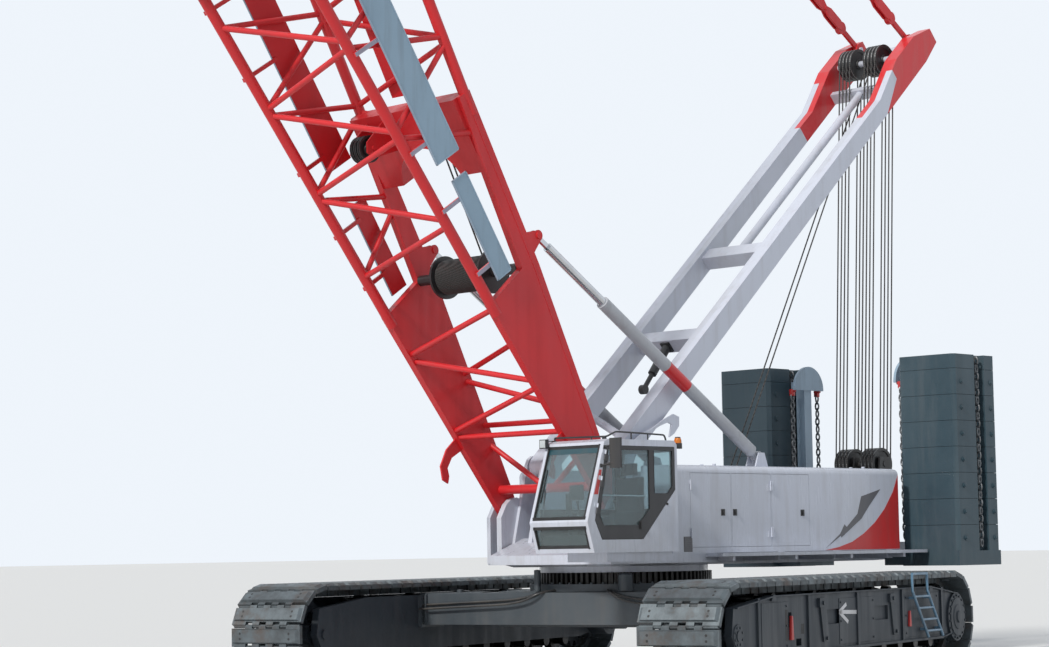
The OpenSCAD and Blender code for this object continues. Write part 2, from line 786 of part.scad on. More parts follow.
module face_zigzag(s0, step, count, a, b) for (i = [0:count - 1]) {
    lace(knot(s0 + i * step + lace_off, a[0], a[1]),
        knot(s0 + (i + 0.5) * step - lace_off, b[0], b[1]));
    lace(knot(s0 + (i + 0.5) * step + lace_off, b[0], b[1]),
        knot(s0 + (i + 1) * step - lace_off, a[0], a[1]));
}

module four_zigzags(s0, step, count) {
    face_zigzag(s0, step, count, [-1, -1], [1, -1]);
    face_zigzag(s0, step, count, [-1, -1], [-1, 1]);
    face_zigzag(s0, step, count, [1, 1], [1, -1]);
    face_zigzag(s0, step, count, [1, 1], [-1, 1]);
}

module end_frame(s) {
    lace(knot(s, -1, -1), knot(s, 1, -1));
    lace(knot(s, -1, 1), knot(s, 1, 1));
    lace(knot(s, -1, -1), knot(s, -1, 1));
    lace(knot(s, 1, -1), knot(s, 1, 1));
}

module chords(s0, s1) for (side = [-1, 1], back = [-1, 1])
    tube(knot(s0, side, back), knot(s1, side, back), chord_r);

// Collars that meet face to face where two sections are joined
module collars(s, from, to) for (side = [-1, 1], back = [-1, 1]) let (k = knot(s, side, back))
    tube(k + [from, 0, 0], k + [to, 0, 0], chord_r + 30);

// Tubes between the foot plates: place on the right plate, place on the left plate
front_laces = [[3060, 3700], [2950, 2430], [1640, 2320], [1530, 1530]];
back_laces = [[2260, 2990], [2160, 1510], [1400, 1400]];

module boom_foot() color(paint_red) on_boom() {
    difference() {
        union() {
            both() across(lug_y - lug_thick / 2, lug_y + lug_thick / 2) polygon([[-150, 60],
                [-150, -60], [-60, -150], [120, -190], [plate_end, -deep_at(plate_end) - 60],
                [plate_end + 120, 300], [portal_top, 570], [portal_top, deep_at(portal_top) + 70],
                [plate_end, deep_at(plate_end) + 130], [300, 200], [60, 150]]);
            box(5400, portal_top, -lug_y, lug_y, 480, 785);
        }
        both() axle(0, 0, 1000, 1300, pin_r + fit);
        translate([5300, 0, 300]) cylinder(h = 600, r = 620);
    }
    for (side = [-1, 1]) {
        tube(knot(plate_end - 200, side, -1), knot(foot_end - 40, side, -1), chord_r);
        tube(knot(6200, side, 1), knot(foot_end - 40, side, 1), chord_r);
    }
    collars(foot_end, -170, 0);
    face_zigzag(4430, 1450, 3, [-1, -1], [1, -1]);
    face_zigzag(4430, 1450, 3, [-1, -1], [-1, 1]);
    face_zigzag(5880, 1450, 2, [1, 1], [1, -1]);
    face_zigzag(5880, 1450, 2, [1, 1], [-1, 1]);
    end_frame(9250);
    lace([400, -lug_y, 0], [400, lug_y, 0], 70);
    for (f = front_laces) tube([f[0], -lug_y, 20 - deep_at(f[0])], [f[1], lug_y, 20 - deep_at(f[1])], lace_r);
    for (b = back_laces) tube([b[0], -lug_y, deep_at(b[0]) - 25], [b[1], lug_y, deep_at(b[1]) - 25], lace_r);
    for (side = [-1, 1]) tube([1090, side * lug_y, 230], [400, side * 60, 0], lace_r);
    both() {
        for (y = [stop_y - 60, stop_y + 37]) across(y, y + 23) {
            polygon([[stop_boom_s - 180, 600], [stop_boom_s + 180, 600], [stop_boom_s + 80,
                stop_boom_n], [stop_boom_s - 80, stop_boom_n]]);
            translate([stop_boom_s, stop_boom_n]) circle(r = 80);
        }
        for (y = [stop_y - 80, stop_y + 60]) axle(stop_boom_s, stop_boom_n, y, y + 20, 52);
    }
}

module boom_winch() color(dark) on_boom() {
    axle(winch_s, winch_n, -480, 480, 220);
    for (s = [-1, 1]) axle(winch_s, winch_n, s > 0 ? 480 : -520, s > 0 ? 520 : -480, 320);
    axle(winch_s, winch_n, -1040, 1040, 80);
}

module boom_insert() color(paint_red) on_boom() {
    chords(foot_end, insert_end);
    collars(foot_end, 0, 170);
    collars(insert_end, -170, 0);
    end_frame(foot_end + 250);
    end_frame(insert_end - 250);
    four_zigzags(foot_end + 390, (insert_end - foot_end - 780) / 5, 5);
}

// Outline of a head plate, X from the head box
head_plate = [[100, -500], [980, -980], [1200, -1040], [1380, -940], [1400, -760], [1240, -300],
    [1100, 720], [1020, 810], [780, 810], [100, 520]];

module boom_head() color(paint_red) on_boom() {
    chords(insert_end + 40, head_box + 60);
    collars(insert_end, 0, 170);
    end_frame(insert_end + 250);
    four_zigzags(insert_end + 390, (head_box - insert_end - 480) / 4, 4);
    box(head_box, head_box + 160, -930, 930, -540, 540);
    for (s = [-1, 1], y = [260, 800]) translate([0, s * y, 0]) across(-25, 25) difference() {
        polygon([for (p = head_plate) [head_box + p[0], p[1]]]);
        translate([boom_long, head_sheave_n]) circle(r = 70 + fit);
        translate([pendant_s, pendant_n]) circle(r = 44 + fit);
    }
}

module boom_head_sheaves() color(dark) on_boom() {
    for (y = [-180, -60, 60, 180]) axle(boom_long, head_sheave_n, y - 35, y + 35, head_sheave_r);
    axle(boom_long, head_sheave_n, -850, 850, 70);
    both() {
        axle(pendant_s, pendant_n, 235, pendant_y - 45 - fit, 44);
        axle(pendant_s, pendant_n, pendant_y + 45 + fit, 850, 44);
    }
    for (y = [-60, 60]) axle(head_box + 500, 520, y - 35, y + 35, 260);
    axle(head_box + 500, 520, -235, 235, 50);
}

// Boards beside the boom: side, lower end, upper end, front edge, rear edge, bracket places
boards = [[1, 5950, 9300, -430, 80, [6300, 7900, 9000]], [1, 4040, 5640, -300, 20, [4300, 5350]],
    [-1, 6040, 9300, -230, 300, [6300, 7900, 9000]], [-1, 3930, 5440, -130, 210, [4300, 5200]]];
board_y = lug_y + chord_r + 35;

module boom_boards() color(blue) on_boom() for (b = boards) {
    y = b[0] > 0 ? [board_y, board_y + 20] : [-board_y - 20, -board_y];
    k = b[0] > 0 ? [lug_y + chord_r + fit, board_y + 1] : [-board_y - 1, -lug_y - chord_r - fit];
    box(b[1], b[2], y[0], y[1], b[3], b[4]);
    for (s = b[5]) box(s - 30, s + 30, k[0], k[1], -deep_at(s) - 40, b[3] + 60);
}

module boom_walk() color(steel) on_boom() {
    across(-380, 70) polygon([[6650, deep_at(6650) + 43], [9150, deep_at(9150) + 43],
        [9150, deep_at(9150) + 68], [6650, deep_at(6650) + 68]]);
}

module boom_pendants() color(paint_red) upper() translate([pend_mast[0], 0, pend_mast[1]])
    rotate([0, -pend_angle, 0]) both() difference() {
    union() {
        box(0, pend_long, pendant_y - 25, pendant_y + 25, -45, 45);
        for (x = concat([pendant_link], [for (i = [0:4]) i * pend_long / 4]))
            axle(x, 0, pendant_y - 45, pendant_y + 45, 110);
    }
    axle(0, 0, pendant_y - 90, pendant_y + 90, 45 + fit);
}

// Hook on four falls, hanging plumb from the boom head

hook_x = head_axle[0];
block_top = head_axle[1] - fall_long;
shank_r = 60;
block_r = 330;

module hook_block() color(paint_red) upper() {
    for (y = [-150, 150]) translate([0, y, 0]) across(-20, 20) polygon([[hook_x - 260, block_top + 300],
        [hook_x + 260, block_top + 300], [hook_x + 380, block_top], [hook_x + 130, block_top - 500],
        [hook_x - 130, block_top - 500], [hook_x - 380, block_top]]);
    for (y = [-60, 60]) axle(hook_x, block_top, y - 35, y + 35, block_r);
    axle(hook_x, block_top, -170, 170, 60);
    difference() {
        box(hook_x - 125, hook_x + 125, -160, 160, block_top - 500, block_top - 380);
        translate([hook_x, 0, block_top - 600]) cylinder(h = 300, r = shank_r + fit);
    }
    for (s = [-1, 1], y = [-60, 60]) tube([hook_x + s * (block_r + 10), y, block_top],
        [hook_x + s * (head_sheave_r + 14 + fit), y, head_axle[1]], 14);
}

module hook() color(paint_red) upper() translate([hook_x, 0, block_top]) {
    translate([0, 0, fit - 380]) cylinder(h = 40, r = 95);
    translate([0, 0, -760]) cylinder(h = 400, r = shank_r);
    translate([0, 0, -560]) cylinder(h = 52, r = 90);
    translate([0, 0, -940]) rotate([90, 0, 0]) rotate([0, 0, 100]) rotate_extrude(angle = 270)
        translate([190, 0]) circle(r = 62);
}
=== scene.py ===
from math import cos, pi, radians, sin, tan

import bmesh
import bpy
from mathutils import Matrix, Vector


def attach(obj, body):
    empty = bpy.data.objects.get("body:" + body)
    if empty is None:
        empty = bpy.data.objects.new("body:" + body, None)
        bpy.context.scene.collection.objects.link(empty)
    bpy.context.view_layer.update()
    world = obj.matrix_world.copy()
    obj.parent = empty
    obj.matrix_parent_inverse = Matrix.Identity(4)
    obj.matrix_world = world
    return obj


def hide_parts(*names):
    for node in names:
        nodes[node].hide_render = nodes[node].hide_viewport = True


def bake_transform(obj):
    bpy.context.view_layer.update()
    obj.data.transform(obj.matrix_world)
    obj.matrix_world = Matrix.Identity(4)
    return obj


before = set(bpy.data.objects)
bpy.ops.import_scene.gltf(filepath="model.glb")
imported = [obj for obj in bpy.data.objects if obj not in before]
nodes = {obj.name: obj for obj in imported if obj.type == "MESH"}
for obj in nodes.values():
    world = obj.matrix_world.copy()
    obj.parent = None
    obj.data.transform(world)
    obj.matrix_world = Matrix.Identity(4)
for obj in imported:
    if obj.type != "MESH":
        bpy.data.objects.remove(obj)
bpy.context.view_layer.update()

# Places of the crane, in metres; the slewing axis stands MID behind the part's middle
MID = 4.787592
BOOM_PIN = (1.376, 2.511)
BOOM_ANGLE = 56.7
MAST_PIN = (1.0, 3.2)
MAST_ANGLE = 41.8
TRACK_TURN = 15.0
TRACK_SIDE = 3.3
HEAD_SHEAVE = (26.7, -0.82)
HEAD_SHEAVE_R = 0.38
FALL_LONG = 6.5
MAST_SHEAVE = (10.46, 0.30)
LUFFING_BLOCK = (-6.18, 3.30)
SHEAVE_ROWS = [side * (0.160 + i * 0.075) for side in (-1, 1) for i in range(4)]
SHEAVE_R = 0.275
ROPE_R = 0.012
HOUSE_SIDE = 1.595
HOUSE_TOP = 3.15
CAB_OUT = 2.4
CAB_IN = 1.27

upper_frame = Matrix.Translation((-MID, 0, 0))
track_frame = upper_frame @ Matrix.Rotation(radians(TRACK_TURN), 4, "Z")
boom_frame = (
    upper_frame
    @ Matrix.Translation((BOOM_PIN[0], 0, BOOM_PIN[1]))
    @ Matrix.Rotation(radians(-BOOM_ANGLE), 4, "Y")
)
mast_frame = (
    upper_frame
    @ Matrix.Translation((MAST_PIN[0], 0, MAST_PIN[1]))
    @ Matrix.Rotation(radians(MAST_ANGLE - 180), 4, "Y")
    @ Matrix.Rotation(pi, 4, "X")
)
left_track_frame = track_frame @ Matrix.Translation((0, TRACK_SIDE, 0))
right_track_frame = track_frame @ Matrix.Translation((0, -TRACK_SIDE, 0)) @ Matrix.Diagonal((1, -1, 1, 1))


# Shaping helpers: each adds one form to a mesh that is being built
SHARP_TURN = 32


def block(bm, x0, x1, y0, y1, z0, z1):
    """A square block between two corners."""
    size = (x1 - x0, y1 - y0, z1 - z0, 1)
    place = Matrix.Translation(((x0 + x1) / 2, (y0 + y1) / 2, (z0 + z1) / 2))
    return bmesh.ops.create_cube(bm, size=1, matrix=place @ Matrix.Diagonal(size))["verts"]


def rod(bm, a, b, r, sides=12):
    """A round bar from a to b, closed at both ends."""
    a, b = Vector(a), Vector(b)
    turn = (b - a).to_track_quat("Z", "Y").to_matrix().to_4x4()
    return bmesh.ops.create_cone(
        bm, segments=sides, radius1=r, radius2=r, depth=(b - a).length, cap_ends=True,
        matrix=Matrix.Translation((a + b) / 2) @ turn,
    )["verts"]


def pin(bm, x, z, y0, y1, r, sides=12):
    """A round bar that lies across, from y0 to y1."""
    return rod(bm, (x, y0, z), (x, y1, z), r, sides)


def bar(bm, a, b, wide, deep):
    """A straight flat bar from a to b."""
    a, b = Vector(a), Vector(b)
    turn = (b - a).to_track_quat("Z", "Y").to_matrix().to_4x4()
    size = Matrix.Diagonal((wide, deep, (b - a).length, 1))
    return bmesh.ops.create_cube(bm, size=1, matrix=Matrix.Translation((a + b) / 2) @ turn @ size)["verts"]


def bent_pipe(bm, points, r):
    """A round pipe that follows its points in smooth bends."""
    curve = bpy.data.curves.new("pipe_path", "CURVE")
    curve.dimensions = "3D"
    curve.bevel_depth = r
    curve.bevel_resolution = 2
    curve.resolution_u = 4
    curve.use_fill_caps = True
    path = curve.splines.new("NURBS")
    path.points.add(len(points) - 1)
    for spot, p in zip(path.points, points):
        spot.co = (*p, 1)
    path.order_u = 3
    path.use_endpoint_u = True
    holder = bpy.data.objects.new("pipe_path", curve)
    mesh = bpy.data.meshes.new_from_object(holder)
    bm.from_mesh(mesh)
    bpy.data.meshes.remove(mesh)
    bpy.data.objects.remove(holder)
    bpy.data.curves.remove(curve)


def plate(bm, outline, y0, y1):
    """A flat plate with an outline in X and Z, from y0 to y1."""
    face = bm.faces.new([bm.verts.new((x, y0, z)) for x, z in outline])
    grown = bmesh.ops.extrude_face_region(bm, geom=[face])["geom"]
    corners = [v for v in grown if isinstance(v, bmesh.types.BMVert)]
    bmesh.ops.translate(bm, verts=corners, vec=(0, y1 - y0, 0))
    return corners


def lathe(bm, profile, centre, axis="Y", steps=48):
    """A turned piece: profile is (along the axle, radius) pairs, turned about an axle through centre."""
    side = Vector((1, 0, 0))
    along = {"Y": Vector((0, 1, 0)), "Z": Vector((0, 0, 1))}[axis]
    centre = Vector(centre)
    verts = [bm.verts.new(centre + along * t + side * r) for t, r in profile]
    edges = [bm.edges.new(pair) for pair in zip(verts, verts[1:])]
    bmesh.ops.spin(
        bm, geom=verts + edges, cent=centre, axis=along, angle=2 * pi, steps=steps, use_merge=True
    )


def stamp(bm, pattern, places):
    """Copies a pattern into bm at each of the places, and frees the pattern."""
    mesh = bpy.data.meshes.new("pattern")
    pattern.to_mesh(mesh)
    pattern.free()
    for place in places:
        start = len(bm.verts)
        bm.from_mesh(mesh)
        bm.verts.ensure_lookup_table()
        bmesh.ops.transform(bm, matrix=place, verts=bm.verts[start:])
    bpy.data.meshes.remove(mesh)


def ring_points(count, r, start=0.0):
    """Evenly spread points on a circle about zero."""
    turns = [2 * pi * (i + start) / count for i in range(count)]
    return [(r * cos(a), r * sin(a)) for a in turns]


def soften(bm, width, segments=2):
    """Rounds the edges that turn more than SHARP_TURN degrees."""
    bmesh.ops.recalc_face_normals(bm, faces=bm.faces)
    sharp = [
        e for e in bm.edges if len(e.link_faces) == 2 and e.calc_face_angle(0) > radians(SHARP_TURN)
    ]
    bmesh.ops.bevel(
        bm, geom=sharp, offset=width, segments=segments, profile=0.5, affect="EDGES", material=-1,
        clamp_overlap=True,
    )


def piece(name, bm, place, body, material, smooth=35, second=None):
    """Ends a mesh: seats it in its frame, gives it its finish and the body it rides on."""
    bmesh.ops.remove_doubles(bm, verts=bm.verts, dist=1e-6)
    bm.transform(place)
    bmesh.ops.recalc_face_normals(bm, faces=bm.faces)
    mesh = bpy.data.meshes.new(name)
    bm.to_mesh(mesh)
    bm.free()
    if smooth:
        mesh.shade_smooth()
        mesh.set_sharp_from_angle(angle=radians(smooth))
    obj = bpy.data.objects.new(name, mesh)
    bpy.context.scene.collection.objects.link(obj)
    mesh.materials.append(material)
    if second:
        mesh.materials.append(second)
    if body:
        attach(obj, body)
    return obj


def on_upper(name, bm, material, smooth=35):
    return piece(name, bm, upper_frame, "superstructure", material, smooth)


def on_tracks(name, bm, place, material, smooth=35):
    return piece(name, bm, place, "undercarriage", material, smooth)


def on_boom(name, bm, material, smooth=35):
    return piece(name, bm, boom_frame, "boom", material, smooth)


# Finishes
def set_values(node, **values):
    """Sets inputs of a node; an underscore stands for the space in an input's name."""
    for name, value in values.items():
        node.inputs[name.replace("_", " ")].default_value = value


def link_value(tree, socket, source, low, high, out_low=0.0, out_high=1.0):
    """Stretches a value from low..high to out_low..out_high, and feeds it to a socket if one is given."""
    node = tree.nodes.new("ShaderNodeMapRange")
    set_values(node, From_Min=low, From_Max=high, To_Min=out_low, To_Max=out_high)
    tree.links.new(source, node.inputs["Value"])
    if socket is not None:
        tree.links.new(node.outputs["Result"], socket)
    return node.outputs["Result"]


def noise(tree, coords, scale, detail, roughness, stretch=None):
    if stretch:
        mapping = tree.nodes.new("ShaderNodeMapping")
        set_values(mapping, Scale=stretch)
        tree.links.new(coords, mapping.inputs["Vector"])
        coords = mapping.outputs["Vector"]
    node = tree.nodes.new("ShaderNodeTexNoise")
    set_values(node, Scale=scale, Detail=detail, Roughness=roughness)
    tree.links.new(coords, node.inputs["Vector"])
    return node.outputs["Fac"]


def blend_colour(tree, mask, first, second):
    """first where the mask is 0, second where it is 1; each a colour or a socket."""
    node = tree.nodes.new("ShaderNodeMix")
    node.data_type = "RGBA"
    tree.links.new(mask, node.inputs["Factor"])
    for socket, value in ((node.inputs[6], first), (node.inputs[7], second)):
        if isinstance(value, tuple):
            socket.default_value = (*value, 1)
        else:
            tree.links.new(value, socket)
    return node.outputs[2]


def combine(tree, operation, a, b):
    """Two values joined by an operation, such as MULTIPLY or MAXIMUM."""
    node = tree.nodes.new("ShaderNodeMath")
    node.operation = operation
    tree.links.new(a, node.inputs[0])
    tree.links.new(b, node.inputs[1])
    return node.outputs[0]


def add_relief(tree, shader, height, strength, distance):
    bump = tree.nodes.new("ShaderNodeBump")
    set_values(bump, Strength=strength, Distance=distance)
    tree.links.new(height, bump.inputs["Height"])
    tree.links.new(bump.outputs["Normal"], shader.inputs["Normal"])


def start_material(name):
    mat = bpy.data.materials.new(name)
    mat.use_nodes = True
    tree = mat.node_tree
    coords = tree.nodes.new("ShaderNodeTexCoord").outputs["Object"]
    return mat, tree, tree.nodes["Principled BSDF"], coords


def sprayed_paint(
    name, colour, faded, grime=(0.10, 0.085, 0.07), rough=0.34, coat=0.25, streaks=0.35,
    dust=0.35, dust_top=2.2, chips=0.35, chip_colour=(0.05, 0.045, 0.04), second=None,
    dust_tone=(0.22, 0.20, 0.17),
):
    """Machine paint: faded in broad patches, streaked by rain, dusty low down, chipped in specks."""
    mat, tree, shader, coords = start_material(name)
    broad = noise(tree, coords, 0.55, 5, 0.6)
    tone = blend_colour(tree, link_value(tree, None, broad, 0.40, 0.66), colour, faded)
    if second:
        tone = second(tree, coords, tone)
    run = noise(tree, coords, 1.0, 6, 0.6, stretch=(5.5, 5.5, 0.55))
    run_mask = link_value(tree, None, run, 0.50, 0.74, 0.0, streaks)
    tone = blend_colour(tree, run_mask, tone, grime)
    height = tree.nodes.new("ShaderNodeSeparateXYZ")
    tree.links.new(coords, height.inputs[0])
    low = link_value(tree, None, height.outputs["Z"], dust_top, 0.1, 0.0, dust)
    cloud = link_value(tree, None, noise(tree, coords, 3.2, 6, 0.65), 0.35, 0.65)
    tone = blend_colour(tree, combine(tree, "MULTIPLY", low, cloud), tone, dust_tone)
    speck = noise(tree, coords, 26.0, 8, 0.7)
    speck_mask = link_value(tree, None, speck, 0.665, 0.69, 0.0, chips)
    tone = blend_colour(tree, speck_mask, tone, chip_colour)
    tree.links.new(tone, shader.inputs["Base Color"])
    link_value(tree, shader.inputs["Roughness"], run, 0.35, 0.75, rough - 0.06, rough + 0.2)
    add_relief(tree, shader, noise(tree, coords, 14.0, 5, 0.55), 0.12, 0.004)
    set_values(shader, Coat_Weight=coat, Coat_Roughness=0.12)
    return mat


def band_along(origin, direction, start, end, colour, beyond=None):
    """A painted band from start to end along a direction; beyond leaves the middle's width unpainted."""

    def paint(tree, coords, tone):
        offset = tree.nodes.new("ShaderNodeVectorMath")
        offset.operation = "SUBTRACT"
        tree.links.new(coords, offset.inputs[0])
        offset.inputs[1].default_value = origin
        dot = tree.nodes.new("ShaderNodeVectorMath")
        dot.operation = "DOT_PRODUCT"
        tree.links.new(offset.outputs["Vector"], dot.inputs[0])
        dot.inputs[1].default_value = direction
        rise = link_value(tree, None, dot.outputs["Value"], start - 0.004, start + 0.004)
        fall = link_value(tree, None, dot.outputs["Value"], end + 0.004, end - 0.004)
        mask = combine(tree, "MULTIPLY", rise, fall)
        if beyond:
            sides = tree.nodes.new("ShaderNodeSeparateXYZ")
            tree.links.new(coords, sides.inputs[0])
            size = tree.nodes.new("ShaderNodeMath")
            size.operation = "ABSOLUTE"
            tree.links.new(sides.outputs["Y"], size.inputs[0])
            outer = link_value(tree, None, size.outputs[0], beyond - 0.002, beyond + 0.002)
            mask = combine(tree, "MULTIPLY", mask, outer)
        return blend_colour(tree, mask, tone, colour)

    return paint


def bare_metal(name, colour, dark, rough=0.42, metallic=0.85, scale=6.0, rust=0.0, bump_depth=0.003):
    """Worn metal: cloudy in tone and gloss, with patches of rust where there is any."""
    mat, tree, shader, coords = start_material(name)
    cloud = noise(tree, coords, scale, 7, 0.62)
    tone = blend_colour(tree, link_value(tree, None, cloud, 0.35, 0.65), colour, dark)
    if rust:
        spots = link_value(tree, None, noise(tree, coords, scale * 0.5, 8, 0.7), 0.5, 0.68, 0.0, rust)
        tone = blend_colour(tree, spots, tone, (0.15, 0.085, 0.048))
    tree.links.new(tone, shader.inputs["Base Color"])
    link_value(tree, shader.inputs["Roughness"], cloud, 0.3, 0.7, rough - 0.08, rough + 0.18)
    add_relief(tree, shader, noise(tree, coords, scale * 9, 6, 0.6), 0.35, bump_depth)
    set_values(shader, Metallic=metallic)
    return mat


def moulded_rubber(name, colour=(0.012, 0.012, 0.013), rough=0.55):
    mat, tree, shader, coords = start_material(name)
    cloud = noise(tree, coords, 9.0, 5, 0.6)
    tone = blend_colour(
        tree, link_value(tree, None, cloud, 0.45, 0.75), colour, tuple(c * 1.9 + 0.006 for c in colour)
    )
    tree.links.new(tone, shader.inputs["Base Color"])
    link_value(tree, shader.inputs["Roughness"], cloud, 0.3, 0.7, rough - 0.08, rough + 0.15)
    add_relief(tree, shader, noise(tree, coords, 120.0, 3, 0.5), 0.2, 0.002)
    return mat


def tinted_glass(name, colour, rough=0.02, clear=0.92):
    """Glass with a thin film of dirt."""
    mat, tree, shader, coords = start_material(name)
    film = noise(tree, coords, 2.4, 6, 0.65)
    tone = blend_colour(
        tree, link_value(tree, None, film, 0.5, 0.8), colour, tuple(c * 0.9 for c in colour)
    )
    tree.links.new(tone, shader.inputs["Base Color"])
    link_value(tree, shader.inputs["Roughness"], film, 0.55, 0.8, rough, rough + 0.07)
    set_values(shader, Transmission_Weight=clear, IOR=1.45, Specular_IOR_Level=0.6)
    return mat


def woven_cover(name, colour):
    """Seat fabric: a fine even grain, with a little sheen."""
    mat, tree, shader, coords = start_material(name)
    weave = link_value(tree, None, noise(tree, coords, 240.0, 2, 0.5), 0.35, 0.65)
    tone = blend_colour(tree, weave, colour, tuple(c * 1.8 for c in colour))
    tree.links.new(tone, shader.inputs["Base Color"])
    add_relief(tree, shader, weave, 0.4, 0.001)
    set_values(shader, Roughness=0.85, Sheen_Weight=0.3)
    return mat


def laid_rope(name, colour):
    """Wire rope: fine strands that wind along the rope."""
    mat, tree, shader, coords = start_material(name)
    strand = tree.nodes.new("ShaderNodeTexWave")
    strand.wave_type = "BANDS"
    strand.bands_direction = "DIAGONAL"
    set_values(strand, Scale=18.0, Distortion=0.6)
    tree.links.new(coords, strand.inputs["Vector"])
    tone = blend_colour(tree, strand.outputs["Fac"], tuple(c * 0.45 for c in colour), colour)
    tree.links.new(tone, shader.inputs["Base Color"])
    add_relief(tree, shader, strand.outputs["Fac"], 0.5, 0.002)
    set_values(shader, Roughness=0.5, Metallic=0.5)
    return mat


# Colours, and the places where painted bands begin and end
RED = (0.62, 0.013, 0.018)
RED_FADED = (0.53, 0.016, 0.022)
# WHITE is light grey paint tinted blue, the blue standing in for sky light on shaded sides: partly paint,
# partly painted light. The faded whites of the house and mast carry the same tint.
WHITE = (0.575, 0.61, 0.705)
ROPE_TONE = (0.07, 0.068, 0.066)
BLOCK_HIGH = 0.36
STOP_RED_FROM, STOP_RED_TO = 1.95, 2.5
BOARD_BACK = 1.2135
PAST_END = 20.0
falls_foot = (boom_frame @ Vector((HEAD_SHEAVE[0], 0, HEAD_SHEAVE[1]))).z - FALL_LONG
mast_way = tuple(mast_frame.to_3x3() @ Vector((1, 0, 0)))
mast_foot = tuple(mast_frame.translation)
stop_foot = upper_frame @ Vector((-1.95, 0, 3.33))
stop_way = (boom_frame @ Vector((4.15, 0, 0.8)) - stop_foot).normalized()

boom_red = sprayed_paint(
    "boom_red", RED, RED_FADED, streaks=0.14, dust=0.0, chips=0.5, coat=0.08,
    rough=0.42, chip_colour=(0.16, 0.03, 0.025), grime=(0.22, 0.05, 0.045),
)
hook_paint = sprayed_paint(
    "hook_block_red_with_ropes", RED, RED_FADED, streaks=0.2, dust=0.0, chips=0.5, coat=0.08,
    second=band_along((0, 0, falls_foot), (0, 0, 1), BLOCK_HIGH, FALL_LONG, ROPE_TONE),
)
house_white = sprayed_paint(
    "house_white", WHITE, (0.53, 0.56, 0.63), grime=(0.30, 0.27, 0.24), streaks=0.25, dust=0.5,
    dust_top=2.6, chips=0.25, coat=0.45, rough=0.28,
)

# Red heads of the mast's legs: places across, places along, and the slope of the outer edge
LEG_INSIDE, LEG_MIDDLE = 0.6, 0.735
RED_FROM_INSIDE, RED_FROM_OUTSIDE, HEAD_FROM = 8.8, 9.575, 9.95
RED_SLOPE = 2.26
mast_slope = tuple(mast_frame.to_3x3() @ Vector((1, 0, -RED_SLOPE)))


def mast_head_red(tree, coords, tone):
    """Red heads: lower on the legs' inner halves, ending on a slope on the outer halves."""
    bands = (
        band_along(mast_foot, mast_way, RED_FROM_INSIDE, PAST_END, RED, LEG_INSIDE),
        band_along(mast_foot, mast_slope, -PAST_END, RED_FROM_OUTSIDE, WHITE, LEG_MIDDLE),
        band_along(mast_foot, mast_way, HEAD_FROM, PAST_END, RED, LEG_INSIDE),
    )
    for band in bands:
        tone = band(tree, coords, tone)
    return tone


mast_paint = sprayed_paint(
    "mast_white_and_red", WHITE, (0.52, 0.55, 0.62), grime=(0.30, 0.27, 0.25), streaks=0.22,
    dust=0.0, chips=0.3, second=mast_head_red,
)
stop_paint = sprayed_paint(
    "backstop_grey_with_band", (0.42, 0.44, 0.48), (0.34, 0.35, 0.38), streaks=0.3, dust=0.0,
    second=band_along(stop_foot, stop_way, STOP_RED_FROM, STOP_RED_TO, RED),
)
# chassis_grey and beam_grey are darker and bluer than the paint itself, standing in for the shade over the
# undercarriage: partly paint, partly painted shade.
chassis_grey = sprayed_paint(
    "chassis_grey", (0.018, 0.026, 0.036), (0.026, 0.035, 0.046), grime=(0.042, 0.048, 0.056),
    streaks=0.40, dust=0.30, dust_top=1.3, rough=0.50, coat=0.0, chips=0.4,
    chip_colour=(0.11, 0.08, 0.06), dust_tone=(0.070, 0.072, 0.074),
)
beam_grey = sprayed_paint(
    "beam_grey", (0.046, 0.058, 0.069), (0.062, 0.075, 0.087), grime=(0.09, 0.09, 0.09),
    streaks=0.4, dust=0.4, dust_top=1.3, rough=0.42, coat=0.1, chips=0.4,
    chip_colour=(0.15, 0.11, 0.08), dust_tone=(0.12, 0.12, 0.115),
)
slab_paint = sprayed_paint(
    "slab_blue_grey", (0.024, 0.052, 0.070), (0.042, 0.074, 0.094), grime=(0.075, 0.095, 0.108),
    streaks=0.5, dust=0.4, dust_top=2.4, rough=0.46, coat=0.05, chips=0.6,
    chip_colour=(0.14, 0.13, 0.12), dust_tone=(0.10, 0.105, 0.10),
)
ladder_blue = sprayed_paint(
    "ladder_blue", (0.12, 0.26, 0.40), (0.10, 0.21, 0.32), dust=0.3, chips=0.5,
)
pale_blue = sprayed_paint(
    "pale_blue", (0.33, 0.45, 0.56), (0.26, 0.36, 0.46), dust=0.3, chips=0.4,
)
board_blue = sprayed_paint(
    "board_blue", (0.27, 0.39, 0.50), (0.23, 0.34, 0.44), streaks=0.25, dust=0.0, chips=0.2,
    second=band_along((0, 0, 0), (0, 1, 0), -BOARD_BACK, BOARD_BACK, RED),
)
machine_black = sprayed_paint(
    "machine_black", (0.016, 0.017, 0.019), (0.03, 0.03, 0.032), streaks=0.3, dust=0.5,
    dust_top=1.8, rough=0.4, coat=0.1, chips=0.4, chip_colour=(0.12, 0.10, 0.09),
)
door_grey = sprayed_paint(
    "cab_door_grey", (0.026, 0.026, 0.030), (0.034, 0.034, 0.038), streaks=0.10, dust=0.05,
    dust_top=2.6, rough=0.38, coat=0.1, chips=0.15, grime=(0.06, 0.058, 0.058),
)
